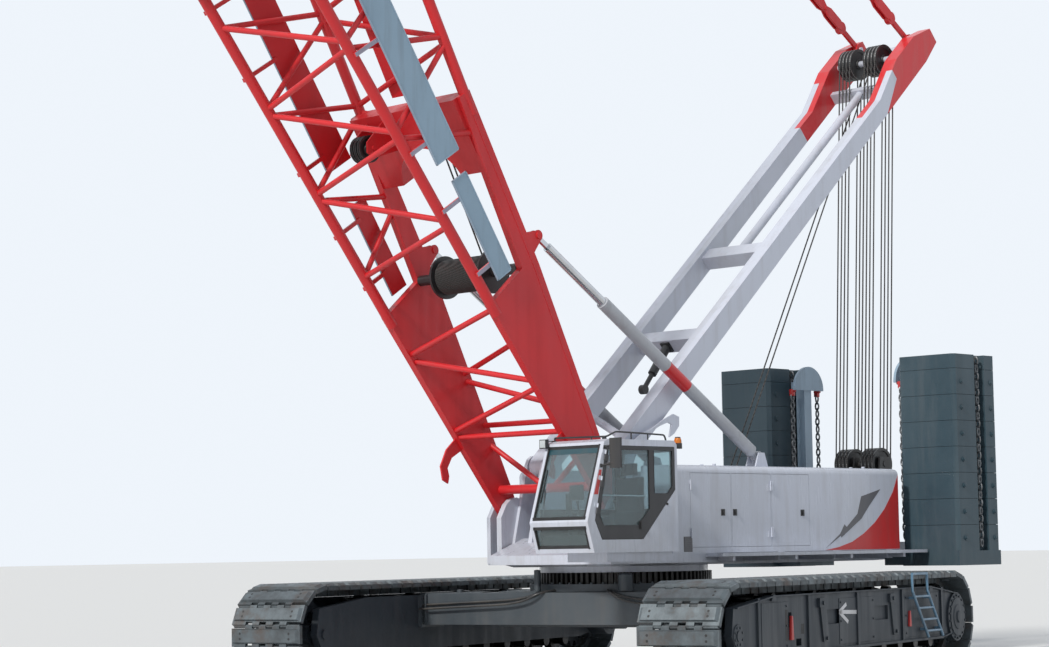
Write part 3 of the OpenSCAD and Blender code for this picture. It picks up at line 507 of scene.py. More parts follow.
# shoe_steel is likewise darkened and tinted blue beyond the steel's own tone: partly painted shade.
shoe_steel = bare_metal(
    "shoe_steel", (0.120, 0.145, 0.160), (0.068, 0.078, 0.085), rough=0.48, metallic=0.35, scale=4.0,
    rust=0.35, bump_depth=0.006,
)
greased_steel = bare_metal(
    "greased_steel", (0.035, 0.034, 0.033), (0.016, 0.015, 0.014), rough=0.3, metallic=0.6
)
chrome_rod = bare_metal(
    "chrome_rod", (0.62, 0.63, 0.65), (0.54, 0.55, 0.57), rough=0.16, metallic=1.0, scale=3.0,
    bump_depth=0.0005,
)
wire_rope = laid_rope("wire_rope", (0.085, 0.082, 0.08))
worn_rope = laid_rope("worn_rope", (0.30, 0.30, 0.30))
chain_steel = bare_metal("chain_steel", (0.20, 0.21, 0.22), (0.085, 0.09, 0.095), metallic=0.6, scale=9.0)
# Black for the rubber parts, also used as painted shade in the shoes' holes, the side frames' openings and
# the gaps between counterweight slabs.
black_rubber_and_shade = moulded_rubber("black_rubber_and_shade")
pane_glass = tinted_glass("pane_glass", (0.60, 0.74, 0.77))
seat_fabric = woven_cover("seat_fabric", (0.028, 0.029, 0.033))
amber = tinted_glass("amber_lens", (0.95, 0.26, 0.015), 0.12, 0.35)
signal_red = sprayed_paint("signal_red", (0.55, 0.02, 0.02), (0.5, 0.03, 0.03), dust=0.1, chips=0.2)
# Near-black of the cab's lining, dark to stand in for the shade inside the cab: painted shade.
cab_shade_black = moulded_rubber("cab_shade_black", (0.020, 0.021, 0.023), 0.7)
lamp_lens = tinted_glass("lamp_lens", (0.70, 0.76, 0.78), 0.15, 0.3)
sun_band = sprayed_paint("sun_band", (0.016, 0.065, 0.085), (0.014, 0.055, 0.07), dust=0.1, chips=0.0)
decal_grey = sprayed_paint(
    "decal_grey", (0.10, 0.10, 0.115), (0.12, 0.12, 0.13), streaks=0.2, dust=0.2, chips=0.1
)
marking_white = sprayed_paint(
    "marking_white", (0.66, 0.67, 0.70), (0.56, 0.56, 0.58), streaks=0.4, dust=0.3, chips=0.6
)


# Finishes of the CAD nodes
NODE_FINISHES = (
    (beam_grey, "carbody"),
    (chassis_grey, "left_track_frame right_track_frame left_idler right_idler left_sprocket right_sprocket"),
    (greased_steel, "slewing_ring left_rollers right_rollers"),
    (ladder_blue, "track_steps"),
    (pale_blue, "weight_lifters"),
    (house_white, "slewing_platform left_house right_house house_door_front house_door_middle"),
    (house_white, "house_door_rear cab_shell walkways"),
    (machine_black, "engine winches cab_fittings mast_head_sheaves luffing_sheaves boom_winch"),
    (machine_black, "boom_head_sheaves mast_helper_cylinder"),
    (slab_paint, "counterweight_tray left_counterweight right_counterweight"),
    (door_grey, "cab_door"),
    (pane_glass, "cab_windows cab_door_glass"),
    (mast_paint, "mast_legs"),
    (stop_paint, "backstop_tubes"),
    (chrome_rod, "backstop_rods"),
    (boom_red, "boom_foot boom_insert boom_head boom_pendants boom_walk"),
    (hook_paint, "hook_block"),
    (board_blue, "boom_boards"),
    (signal_red, "hook"),
)
for finish, names in NODE_FINISHES:
    for name in names.split():
        if not nodes[name].material_slots:
            nodes[name].data.materials.append(None)
        for slot in nodes[name].material_slots:
            slot.material = finish


# Tracks: cast shoes with interlocking edges on a chain of links
RUN_SHOES = 29
END_SHOES = 7
LOOP_R = 0.625
LOOP_Z = 0.745
PITCH = 2 * LOOP_R * tan(pi / 2 / END_SHOES)
RUN = RUN_SHOES * PITCH
TOOTH_EDGES = (-0.6, -0.36, -0.24, -0.12, 0.0, 0.12, 0.24, 0.36, 0.6)


def cast_shoe(bm):
    """One shoe lying flat: interlocking edges, a raised pad with four holes drawn as black discs of painted
    shade, link eyes underneath.
    """
    front, back = [], []
    for i in range(len(TOOTH_EDGES) - 1):
        tooth = i % 2 == 1
        front += [(PITCH / 2 + (0.012 if tooth else -0.036), y) for y in TOOTH_EDGES[i : i + 2]]
        back += [(-PITCH / 2 + (0.032 if tooth else -0.012), y) for y in TOOTH_EDGES[i : i + 2]]
    face = bm.faces.new([bm.verts.new((x, y, 0.012)) for x, y in front + back[::-1]])
    grown = bmesh.ops.extrude_face_region(bm, geom=[face])["geom"]
    top = [v for v in grown if isinstance(v, bmesh.types.BMVert)]
    bmesh.ops.translate(bm, verts=top, vec=(0, 0, 0.066))
    pad = block(bm, -0.104, 0.100, -0.585, 0.585, 0.075, 0.114)
    crown = [v for v in pad if v.co.z > 0.1]
    bmesh.ops.scale(bm, vec=(0.88, 0.92, 1), verts=crown)
    for y in (-0.17, 0.17):
        block(bm, -0.125, 0.125, y - 0.04, y + 0.04, -0.088, 0.02)
    pin(bm, -PITCH / 2, 0.036, -0.575, 0.575, 0.027, 8)
    # The four holes are black discs on the pad: painted shade.
    for x in (-0.038, 0.038):
        for y in (-0.43, 0.43):
            hole = rod(bm, (x, y, 0.10), (x, y, 0.1146), 0.019, 8)
            for f in {f for v in hole for f in v.link_faces}:
                f.material_index = 1


def shoe_places():
    """Places of the shoes round the loop: each half is a straight run and one end's turn."""
    for half in (0, 1):
        turn = Matrix.Translation((0, 0, LOOP_Z)) @ Matrix.Rotation(pi * half, 4, "Y")
        for i in range(RUN_SHOES):
            x = RUN / 2 - (i + 0.5) * PITCH
            yield turn @ Matrix.Translation((x, 0, LOOP_R))
        for i in range(END_SHOES):
            a = (i + 0.5) * pi / END_SHOES
            hub = Matrix.Translation((-RUN / 2, 0, 0))
            yield turn @ hub @ Matrix.Rotation(-a, 4, "Y") @ Matrix.Translation((0, 0, LOOP_R))


def track_shoes(name, place, node):
    shoe = bmesh.new()
    cast_shoe(shoe)
    bmesh.ops.recalc_face_normals(shoe, faces=shoe.faces)
    bm = bmesh.new()
    stamp(bm, shoe, shoe_places())
    obj = piece(name, bm, place, "undercarriage", shoe_steel, 30, black_rubber_and_shade)
    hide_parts(node)


track_shoes("left_track_shoes", left_track_frame, "left_track")
track_shoes("right_track_shoes", right_track_frame, "right_track")


# Side frames, in the left frame's own place: strips, brackets and bolts, black patches of painted shade for
# openings, red plates, an arrow
SIDE_FACE = 0.538
EDGE_Y, EDGE_TOP, EDGE_FOOT = 0.56, 1.246, 0.445
STRIPS = ((2.50, 3.38), (-0.68, 0.68), (-3.36, -1.90))
STRIP_BOLTS = (3.45, 2.56, 0.62, -0.62, -1.96, -3.30)
RED_PLATES = ((2.42, 0.63, 0.96), (-2.08, 0.66, 0.90))
ARROW_Y = 0.55
ARROW_TIP, ARROW_ENDS = (0.685, 0.964), ((-0.064, 0.941), (0.418, 1.071), (0.362, 0.81))


def side_details(name, place):
    bm = bmesh.new()
    for x0, x1 in STRIPS:
        block(bm, x0, x1, SIDE_FACE, SIDE_FACE + 0.010, 0.50, 1.16)
    for x in (-3.0, 3.0):
        plate(bm, [(x - 0.09, 1.18), (x + 0.09, 1.18), (x + 0.05, 1.262), (x - 0.05, 1.262)], 0.55, 0.575)
    block(bm, -3.5, 3.5, 0.50, 0.585, 0.425, 0.462)
    bar(bm, (-3.0, EDGE_Y, EDGE_TOP), (3.0, EDGE_Y, EDGE_TOP), 0.05, 0.02)
    for way in (-1, 1):
        bar(bm, (way * 3.0, EDGE_Y, EDGE_TOP), (way * 4.22, EDGE_Y, 1.115), 0.05, 0.02)
        bar(bm, (way * 3.5, EDGE_Y, EDGE_FOOT), (way * 4.16, EDGE_Y, 0.535), 0.05, 0.02)
    soften(bm, 0.004, 1)
    for x in (1.40, -1.30):
        plate(bm, [(x + 0.06, 1.18), (x - 0.18, 1.18), (x - 0.18, 1.05), (x + 0.06, 1.05)], SIDE_FACE, 0.585)
        plate(bm, [(x, 1.08), (x - 0.20, 1.08), (x - 0.30, 0.56), (x - 0.10, 0.56)], SIDE_FACE, 0.566)
        pin(bm, x - 0.06, 1.11, 0.58, 0.605, 0.030)
        pin(bm, x - 0.20, 0.61, 0.56, 0.59, 0.026)
    for x in STRIP_BOLTS:
        for z in (0.56, 0.83, 1.10):
            pin(bm, x, z, 0.545, 0.560, 0.015, 6)
    on_tracks(name + "_covers", bm, place, chassis_grey)
    bm = bmesh.new()
    # Black patches for two openings and an upright slot: painted shade.
    for x in (4.17, 2.00):
        block(bm, x - 0.055, x + 0.055, SIDE_FACE + 0.0005, SIDE_FACE + 0.0025, 0.70, 0.84)
    block(bm, 2.52, 2.60, SIDE_FACE + 0.010, SIDE_FACE + 0.0115, 0.62, 1.05)
    on_tracks(name + "_shade_patches", bm, place, black_rubber_and_shade)
    bm = bmesh.new()
    for x, low, high in RED_PLATES:
        plate(bm, [(x - 0.045, low), (x + 0.045, low), (x + 0.02, high), (x - 0.02, high)], 0.54, 0.578)
    soften(bm, 0.005)
    on_tracks(name + "_red_plate", bm, place, signal_red)
    bm = bmesh.new()
    for x, z in ARROW_ENDS:
        bar(bm, (ARROW_TIP[0], ARROW_Y, ARROW_TIP[1]), (x, ARROW_Y, z), 0.005, 0.056)
    on_tracks(name + "_arrow", bm, place, marking_white)


side_details("left_side", left_track_frame)
side_details("right_side", right_track_frame)


def drive_cover(name, place):
    """Bolted cover of the drive outside the sprocket, and the idler's axle cover with its bolts."""
    bm = bmesh.new()
    lathe(bm, [(0.588, 0), (0.588, 0.20), (0.604, 0.19), (0.604, 0.10), (0.628, 0.09), (0.628, 0)],
          (-RUN / 2, 0, LOOP_Z))
    for x, count, r, y0, y1 in ((-RUN / 2, 18, 0.34, 0.574, 0.594), (RUN / 2, 8, 0.12, 0.54, 0.566)):
        for dx, dz in ring_points(count, r, 0.5):
            pin(bm, x + dx, LOOP_Z + dz, y0, y1, 0.018, 6)
    lathe(bm, [(0.54, 0), (0.54, 0.16), (0.556, 0.155), (0.556, 0)], (RUN / 2, 0, LOOP_Z))
    on_tracks(name, bm, place, chassis_grey)


drive_cover("left_drive_cover", left_track_frame)
drive_cover("right_drive_cover", right_track_frame)


RING_BOLTS, RING_BOLT_R = 48, 1.41
BEAM_X = (-1.25, 1.25)


def carbody_details():
    """Bolts and brackets at the side frames, ring bolts, a box, two turned caps and the travel pipes."""
    bm = bmesh.new()
    for x in BEAM_X:
        for side in (-1, 1):
            for k in range(5):
                z = 0.85 + k * 0.09
                for dx in (-0.30, 0.30):
                    pin(bm, x + dx, z, side * 2.705, side * 2.68, 0.02, 6)
            block(bm, x - 0.18, x + 0.18, side * 1.9 - 0.2, side * 1.9 + 0.2, 1.278, 1.292)
            rod(bm, (x, side * 2.2, 1.28), (x, side * 2.2, 1.33), 0.05, 16)
            plate(bm, [(x + 0.275, 0.80), (x + 0.275, 1.28), (x + 0.33, 1.25), (x + 0.33, 0.83)],
                  side * 2.62, side * 2.64)
    for x, y in ring_points(RING_BOLTS, RING_BOLT_R):
        rod(bm, (x, y, 1.398), (x, y, 1.425), 0.022, 6)
    block(bm, 0.95, 1.25, 2.42, 2.66, 1.275, 1.37)
    lathe(bm, [(0, 0), (0, 0.11), (0.24, 0.11), (0.26, 0.09), (0.26, 0)], (1.38, 0.75, 1.295), "Z", 32)
    lathe(bm, [(0, 0), (0, 0.05), (0.32, 0.05), (0.33, 0.0)], (1.38, -0.75, 1.295), "Z", 24)
    on_tracks("carbody_fittings", bm, track_frame, beam_grey)
    bm = bmesh.new()
    for side in (-1, 1):
        for k in (0, 1):
            x, drop = 1.55 + 0.07 * k, 0.06 * k
            bent_pipe(bm, [(1.30, side * 0.4, 1.31), (x, side * 0.55, 1.31), (x, side * 0.9, 1.18 - drop),
                           (x, side * 1.8, 1.14 - drop), (x, side * 2.72, 1.10 - drop)], 0.018)
    on_tracks("travel_pipes", bm, track_frame, machine_black, 60)


carbody_details()


# House: roof seams, side louvre, black sheets behind the grilles as painted shade, latches, painted flash and
# corner
FLASH = ((-4.50, 2.82), (-3.98, 2.70), (-3.87, 2.42), (-3.58, 2.21), (-3.52, 2.25), (-3.40, 2.10),
         (-3.03, 1.88), (-3.42, 2.07), (-3.43, 2.04), (-3.97, 2.34), (-4.20, 2.56))
CORNER = ((-4.985, 3.05), (-4.84, 2.78), (-4.60, 2.50), (-4.33, 2.28), (-4.02, 2.10), (-3.71, 1.97),
          (-3.36, 1.89), (-3.01, 1.845), (-4.985, 1.845))
LATCHES = (("house_door_front", -0.521, 2.445), ("house_door_middle", -0.803, 2.445),
           ("house_door_rear", -2.45, 2.437))


def house_details():
    bm = bmesh.new()
    for side in (-1, 1):
        for x in (-4.7, -4.0, -3.3, -2.6, -1.0, -0.2, 0.5):
            y = side * 1.245
            block(bm, x - 0.02, x + 0.02, y - 0.25, y + 0.25, HOUSE_TOP - 0.002, HOUSE_TOP + 0.010)
        for y in (side * 1.0, side * 1.49):
            block(bm, -4.98, 0.64, y - 0.012, y + 0.012, HOUSE_TOP - 0.002, HOUSE_TOP + 0.008)
    soften(bm, 0.004, 1)
    for side in (-1, 1):
        for x in (-4.35, -0.6):
            for y in (1.12, 1.37):
                rod(bm, (x, side * y, HOUSE_TOP - 0.005), (x, side * y, HOUSE_TOP + 0.04), 0.028, 16)
    on_upper("roof_seams", bm, house_white)
    bm = bmesh.new()
    for k in range(7):
        z = 1.87 + k * 0.031
        block(bm, 0.215, 0.385, HOUSE_SIDE - 0.003, HOUSE_SIDE + 0.007, z, z + 0.018)
    block(bm, 0.20, 0.40, HOUSE_SIDE - 0.0025, HOUSE_SIDE, 1.855, 2.085)
    soften(bm, 0.002, 1)
    on_upper("side_louvre", bm, decal_grey)
    bm = bmesh.new()
    # Black sheets just inside the far wall, behind the grilles: painted shade.
    for x0, x1 in ((-4.70, -3.45), (-3.25, -2.0)):
        block(bm, x0, x1, -1.575, -1.572, 2.14, 2.96)
    on_upper("grille_painted_shade", bm, machine_black)
    for body, x, z in LATCHES:
        bm = bmesh.new()
        block(bm, x - 0.045, x + 0.045, HOUSE_SIDE - 0.003, HOUSE_SIDE + 0.007, z - 0.05, z + 0.05)
        pin(bm, x, z, HOUSE_SIDE + 0.005, HOUSE_SIDE + 0.020, 0.022, 14)
        block(bm, x - 0.012, x + 0.012, HOUSE_SIDE + 0.015, HOUSE_SIDE + 0.027, z - 0.035, z + 0.035)
        soften(bm, 0.003, 1)
        piece(body + "_latch", bm, upper_frame, body, machine_black)
    for side, way in (("left", 1), ("right", -1)):
        for name, outline, material in (("flash", FLASH, decal_grey), ("corner", CORNER, signal_red)):
            bm = bmesh.new()
            plate(bm, outline, way * (HOUSE_SIDE - 0.0015), way * (HOUSE_SIDE + 0.0015))
            on_upper(f"{side}_house_{name}", bm, material)


house_details()


# Deck fittings: pin caps of the boom and mast feet, curved guards, bolts along the deck
GUARD = ((0.99, 3.10), (0.80, 3.16), (0.62, 3.50), (0.40, 3.66), (0.17, 3.77), (-0.02, 3.83), (-0.10, 3.80),
         (-0.06, 3.66), (-0.04, 3.60), (-0.16, 3.66), (-0.275, 3.781), (-0.279, 3.92), (-0.142, 3.962),
         (0.092, 3.864), (0.324, 3.736), (0.552, 3.655), (0.80, 3.52), (1.02, 3.30))


def deck_details():
    bm = bmesh.new()
    for side in (-1, 1):
        for (x, z), y, r in ((BOOM_PIN, 1.245, 0.11), (MAST_PIN, 0.965, 0.10)):
            for depth, radius in ((0.018, r), (0.034, r * 0.6)):
                pin(bm, x, z, side * (y - 0.002), side * (y + depth), radius, 28)
            for dx, dz in ring_points(6, r * 0.78):
                pin(bm, x + dx, z + dz, side * (y + 0.012), side * (y + 0.028), 0.011, 6)
        plate(bm, GUARD, side * 0.9405, side * 0.965)
        for x in (-0.2, -1.0, -2.6, -3.4, -4.2):
            rod(bm, (x, side * 0.70, 2.098), (x, side * 0.70, 2.125), 0.03, 6)
    on_upper("pin_caps_and_guards", bm, house_white)


deck_details()


# Winches: turns of rope on their drums
RIDGE_HIGH = 0.0234


def wound_drum(name, place, body, x, z, r, half, turns):
    """A layer of rope wound on a drum: one round ridge for each turn."""
    bm = bmesh.new()
    step = 2 * half / turns
    profile = [(-half, r - 0.02)]
    for i in range(turns):
        y = -half + i * step
        for k in range(5):
            a = pi * k / 4
            profile.append((y + step * (0.5 - 0.5 * cos(a)), r + RIDGE_HIGH * sin(a)))
    profile.append((half, r - 0.02))
    lathe(bm, profile, (x, 0, z), steps=56)
    piece(name, bm, place, body, wire_rope, smooth=60)


for drum, x, r, turns in (("front", -0.9, 0.285, 34), ("middle", -2.3, 0.285, 34), ("rear", -3.7, 0.265, 40)):
    wound_drum(drum + "_drum_rope", upper_frame, "superstructure", x, 2.56, r, 0.515, turns)


# Sheaves: grooved rims on thin webs and hubs
SHEAVE_HUB, SHEAVE_BORE = 0.085, 0.056


def sheave_set(name, place, body, x, z, rows, r, half, node=None):
    """A row of equal sheaves on one axle; it may stand for a CAD node."""
    bm = bmesh.new()
    rim = [(-half, SHEAVE_BORE), (-half, SHEAVE_HUB), (-half * 0.35, SHEAVE_HUB + 0.01),
           (-half * 0.35, r * 0.78), (-half, r * 0.82), (-half, r), (-half * 0.5, r - 0.002), (0, r - 0.028)]
    rim += [(-t, q) for t, q in rim[-2::-1]] + rim[:1]
    for y in rows:
        lathe(bm, [(y + t, q) for t, q in rim], (x, 0, z), steps=40)
    obj = piece(name, bm, place, body, machine_black, smooth=40)
    if node:
        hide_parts(node)


sheave_set("mast_sheave_rims", mast_frame, "mast_sheaves", *MAST_SHEAVE, SHEAVE_ROWS, SHEAVE_R, 0.03,
           "mast_head_sheaves")
sheave_set("block_sheave_rims", upper_frame, "luffing_block", *LUFFING_BLOCK, SHEAVE_ROWS, SHEAVE_R, 0.03,
           "luffing_sheaves")


# Luffing ropes: straight falls between the block and the mast head
HOUSE_LEAD = (-2.47, 3.0)


def tangent_ropes(name, foot, head, r, rows, sides):
    """Straight ropes from the foot's axle to the head's."""
    bm = bmesh.new()
    way = (head - foot).normalized()
    across = Vector((-way.z, 0, way.x)) * (r - ROPE_R)
    for y in rows:
        for side in sides:
            offset = Vector((0, y, 0)) + across * side
            rod(bm, foot + offset, head + offset, ROPE_R, 8)
    obj = piece(name, bm, Matrix.Identity(4), None, wire_rope, smooth=60)
    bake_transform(obj)


block_axle = upper_frame @ Vector((LUFFING_BLOCK[0], 0, LUFFING_BLOCK[1]))
mast_axle = mast_frame @ Vector((MAST_SHEAVE[0], 0, MAST_SHEAVE[1]))
house_lead = upper_frame @ Vector((HOUSE_LEAD[0], 0, HOUSE_LEAD[1]))
tangent_ropes("luffing_ropes", block_axle, mast_axle, SHEAVE_R, SHEAVE_ROWS, (-1, 1))
tangent_ropes("mast_lead_ropes", house_lead, mast_axle, 0.10, (-0.06, 0.06), (1,))


def rope_wraps(name, place, body, x, z, rows, r):
    """Rope lying in the grooves of a sheave set."""
    bm = bmesh.new()
    for y in rows:
        turns = [k * pi / 4 for k in range(9)]
        lathe(bm, [(y + 0.011 * cos(a), r - 0.014 + 0.011 * sin(a)) for a in turns], (x, 0, z), steps=40)
    piece(name, bm, place, body, worn_rope, smooth=60)


rope_wraps("mast_rope_wraps", mast_frame, "mast", *MAST_SHEAVE, SHEAVE_ROWS, SHEAVE_R)
rope_wraps("block_rope_wraps", upper_frame, "superstructure", *LUFFING_BLOCK, SHEAVE_ROWS, SHEAVE_R)


# Boom: section pins, foot bosses, hooked plates and ridges on the foot, rims and backs of the blank boards
SECTION_ENDS = (9.5, 18.5)
CHORD_DEEP, CHORD_HALF = 1.0, 1.1

# Boards beside the boom: side, lower end, upper end, front edge, rear edge
BOARDS = ((1, 5.95, 9.30, -0.43, 0.08), (1, 4.04, 5.64, -0.30, 0.02), (-1, 6.04, 9.30, -0.23, 0.30),
          (-1, 3.93, 5.44, -0.13, 0.21))
RIM = 0.015
RIM_Y, BACK_Y = (1.232, 1.243), (-1.2148, -1.211)
FOOT_PLATE_FACES, RIDGE_Y = (1.0385, 1.1595), 1.154
RIDGES = (((0.42, 0.11), (3.8, 0.52)), ((3.8, 0.52), (6.45, 0.69)))
HOOK_PLATE = ((1.54, -0.30), (1.50, -0.58), (1.36, -0.82), (1.16, -0.90), (1.06, -0.84), (1.14, -0.76),
              (1.26, -0.72), (1.34, -0.56), (1.32, -0.28))


def boom_details():
    bm = bmesh.new()
    for s in SECTION_ENDS:
        for side in (-1, 1):
            for back in (-1, 1):
                n, y = back * CHORD_DEEP, side * CHORD_HALF
                for dy in (-0.10, 0.06):
                    block(bm, s - 0.17, s + 0.17, y + dy, y + dy + 0.04, n - 0.135, n + 0.135)
                for low, high, r in ((-0.15, 0.15, 0.045), (-0.17, -0.14, 0.065), (0.14, 0.17, 0.065)):
                    pin(bm, s, n, y + low, y + high, r, 20)
    soften(bm, 0.006, 1)
    for side in (-1, 1):
        for y in FOOT_PLATE_FACES:
            near, far = side * y - 0.012, side * y + 0.012
            boss = [(near, 0.10), (near, 0.19), (far, 0.19), (far, 0.10), (near, 0.10)]
            lathe(bm, boss, (0, 0, 0), steps=40)
        plate(bm, HOOK_PLATE, side * 1.10, side * 1.13)
        for (s0, n0), (s1, n1) in RIDGES:
            bar(bm, (s0, side * RIDGE_Y, n0), (s1, side * RIDGE_Y, n1), 0.022, 0.022)
    on_boom("boom_pins_and_bosses", bm, boom_red)
    rims, backs = bmesh.new(), bmesh.new()
    for side, s0, s1, n0, n1 in BOARDS:
        y0, y1 = sorted(side * y for y in RIM_Y)
        for a, b, low, high in ((s0, s1, n0, n0 + RIM), (s0, s1, n1 - RIM, n1), (s0, s0 + RIM, n0, n1),
                                (s1 - RIM, s1, n0, n1)):
            block(rims, a, b, y0, y1, low, high)
        if side < 0:
            block(backs, s0 + 0.004, s1 - 0.004, *BACK_Y, n0 + 0.004, n1 - 0.004)
    on_boom("board_rims", rims, pale_blue)
    on_boom("board_backs", backs, boom_red)


boom_details()


PORTAL_GUIDE = (6.20, 0.08)


def portal_guides():
    """Three guide sheaves on a bracket under the boom's portal."""
    bm = bmesh.new()
    cheek = [(5.95, 0.50), (6.45, 0.50), (6.33, 0.02), (6.20, -0.06), (6.07, 0.02)]
    for y in (-0.78, -0.42):
        plate(bm, cheek, y - 0.012, y + 0.012)
    s, n = PORTAL_GUIDE
    pin(bm, s, n, -0.82, -0.38, 0.035, 16)
    on_boom("portal_guide_bracket", bm, boom_red)
    sheave_set("portal_guide_sheaves", boom_frame, "boom", s, n, (-0.68, -0.60, -0.52), 0.20, 0.028)


portal_guides()

HEAD_ROWS = (-0.18, -0.06, 0.06, 0.18)
PENDANT_PIN = (26.4, 0.70)
PENDANT_Y, EYE_HALF = 0.54, 0.0453
TOP_GUIDE = (26.0, 0.52)
TOP_GUIDE_R = 0.26
HEAD_LANES = (-0.06, 0.06)


def head_sheaves():
    """The head's sheaves with their grooves, its axles and the pins of the pendants."""
    s, n = HEAD_SHEAVE
    sheave_set("head_sheaves", boom_frame, "boom", s, n, HEAD_ROWS, HEAD_SHEAVE_R, 0.035, "boom_head_sheaves")
    guide_s, guide_n = TOP_GUIDE
    sheave_set("top_guide_sheaves", boom_frame, "boom", guide_s, guide_n, HEAD_LANES, TOP_GUIDE_R, 0.035)
    pin_s, pin_n = PENDANT_PIN
    bm = bmesh.new()
    pin(bm, s, n, -0.85, 0.85, 0.07, 32)
    pin(bm, guide_s, guide_n, -0.235, 0.235, 0.05, 24)
    for side in (-1, 1):
        for y0, y1 in ((0.235, PENDANT_Y - EYE_HALF), (PENDANT_Y + EYE_HALF, 0.85)):
            pin(bm, pin_s, pin_n, side * y0, side * y1, 0.044, 24)
        pin(bm, s, n, side * 0.825, side * 0.86, 0.12, 28)
    on_boom("head_axles", bm, chrome_rod)


head_sheaves()

MAST_EYE = (11.1, 0.25)
LINKS, LINK_FROM, LINK_LONG = 5, 0.60, 0.56


def pendant_links():
    """Link plates on both faces of each pendant where it leaves the mast head."""
    foot = mast_frame @ Vector((MAST_EYE[0], 0, MAST_EYE[1]))
    head = boom_frame @ Vector((PENDANT_PIN[0], 0, PENDANT_PIN[1]))
    turn = (head - foot).to_track_quat("X", "Z").to_matrix().to_4x4()
    bm = bmesh.new()
    for side in (-1, 1):
        for k in range(LINKS):
            a = LINK_FROM + LINK_LONG * k
            b = a + LINK_LONG
            profile = ((a, 0.05), (a + 0.12, 0.095), (b - 0.12, 0.095), (b, 0.05))
            outline = [(x, n) for x, n in profile] + [(x, -n) for x, n in reversed(profile)]
            for low, high in ((-0.054, -0.024), (0.024, 0.054)):
                plate(bm, outline, side * (PENDANT_Y + low), side * (PENDANT_Y + high))
            pin(bm, b, 0, side * (PENDANT_Y - 0.062), side * (PENDANT_Y + 0.062), 0.042, 16)
    soften(bm, 0.006, 1)
    piece("pendant_links", bm, Matrix.Translation(foot) @ turn, "pendants", boom_red)


pendant_links()

BOOM_DRUM = (3.9, 0.35)
HOIST_ROPE_R = 0.013
RUB_BARS, RUB_BAR_R, RUB_BAR_N = (6.02, 6.48), 0.017, 0.785
DRUM_EXIT = (3.95, 0.60)
DRUM_LANES = (0.15, 0.25)


def hoist_ropes():
    """Ropes from the boom's drum over two rub bars on the portal to the guides at the head."""
    over = RUB_BAR_N + RUB_BAR_R + HOIST_ROPE_R
    bm = bmesh.new()
    for y, tip in zip(DRUM_LANES, HEAD_LANES):
        route = [(DRUM_EXIT[0], y, DRUM_EXIT[1])] + [(s, y, over) for s in RUB_BARS]
        route += [(TOP_GUIDE[0], tip, TOP_GUIDE[1] + 0.255)]
        for a, b in zip(route, route[1:]):
            rod(bm, a, b, HOIST_ROPE_R, 8)
    on_boom("hoist_ropes", bm, wire_rope, 60)
    bm = bmesh.new()
    for s in RUB_BARS:
        pin(bm, s, RUB_BAR_N, 0.08, 0.32, RUB_BAR_R)
    on_boom("rope_rub_bars", bm, boom_red)
    wound_drum("boom_drum_rope", boom_frame, "boom", *BOOM_DRUM, 0.235, 0.475, 32)


hoist_ropes()


# Counterweight stacks: lifting chains, a black block in each stack as painted shade in the gaps between the
# slabs, lifting lugs, lifter hooks
LINK_WIRE, CHAIN_LINK = 0.016, 0.17


def chain(name, x, y, z0, z1):
    """Oval links in a row from z0 to z1, each turned a quarter from the last."""
    pattern = bmesh.new()
    turn = Matrix.Translation((0.036, 0, 0)) @ Matrix.Rotation(pi / 2, 4, "X")
    ring = bmesh.ops.create_circle(pattern, segments=5, radius=LINK_WIRE, matrix=turn)["verts"]
    edges = list({e for v in ring for e in v.link_edges})
    bmesh.ops.spin(
        pattern, geom=ring + edges, cent=(0, 0, 0), axis=(0, 0, 1), angle=2 * pi, steps=10, use_merge=True
    )
    bmesh.ops.scale(pattern, vec=(1, CHAIN_LINK / 0.104, 1), verts=pattern.verts)
    bmesh.ops.rotate(pattern, cent=(0, 0, 0), matrix=Matrix.Rotation(pi / 2, 3, "X"), verts=pattern.verts)
    count = round((z1 - z0) / (CHAIN_LINK * 0.78))
    step = (z1 - z0) / count
    places = [
        Matrix.Translation((x, y, z0 + (i + 0.5) * step)) @ Matrix.Rotation(pi / 2 * (i % 2), 4, "Z")
        for i in range(count)
    ]
    bm = bmesh.new()
    stamp(bm, pattern, places)
    piece(name, bm, upper_frame, "superstructure", chain_steel, smooth=60)


SLAB_CHAIN_X, SLAB_CHAIN_Y, SLAB_CHAIN_Z = -6.08, (("outer", 2.456), ("inner", 1.442)), (1.86, 5.0)
LIFTER_X, LIFTER_Y, LIFTER_CHAIN_Z, LIFTER_PIN_Z = (-5.735, -6.425), 1.165, (2.0, 4.58), 4.63
SLABS, SLAB_FOOT, SLAB_HIGH = 7, 1.797, 0.428
GAP_SHADE_Z = (1.80, 5.02)
LUG_X = (-6.40, -5.56)
LUG_STEPS = ((2.506, 2.528, 0.042, 16), (2.52, 2.545, 0.024, 12), (1.39, 1.362, 0.042, 16))
GAP_SHADE_BLOCKS = ((-6.505, -6.235, 1.431, 2.465), (-5.925, -5.40, 1.431, 2.465), (-6.235, -5.925, 1.511, 2.385))


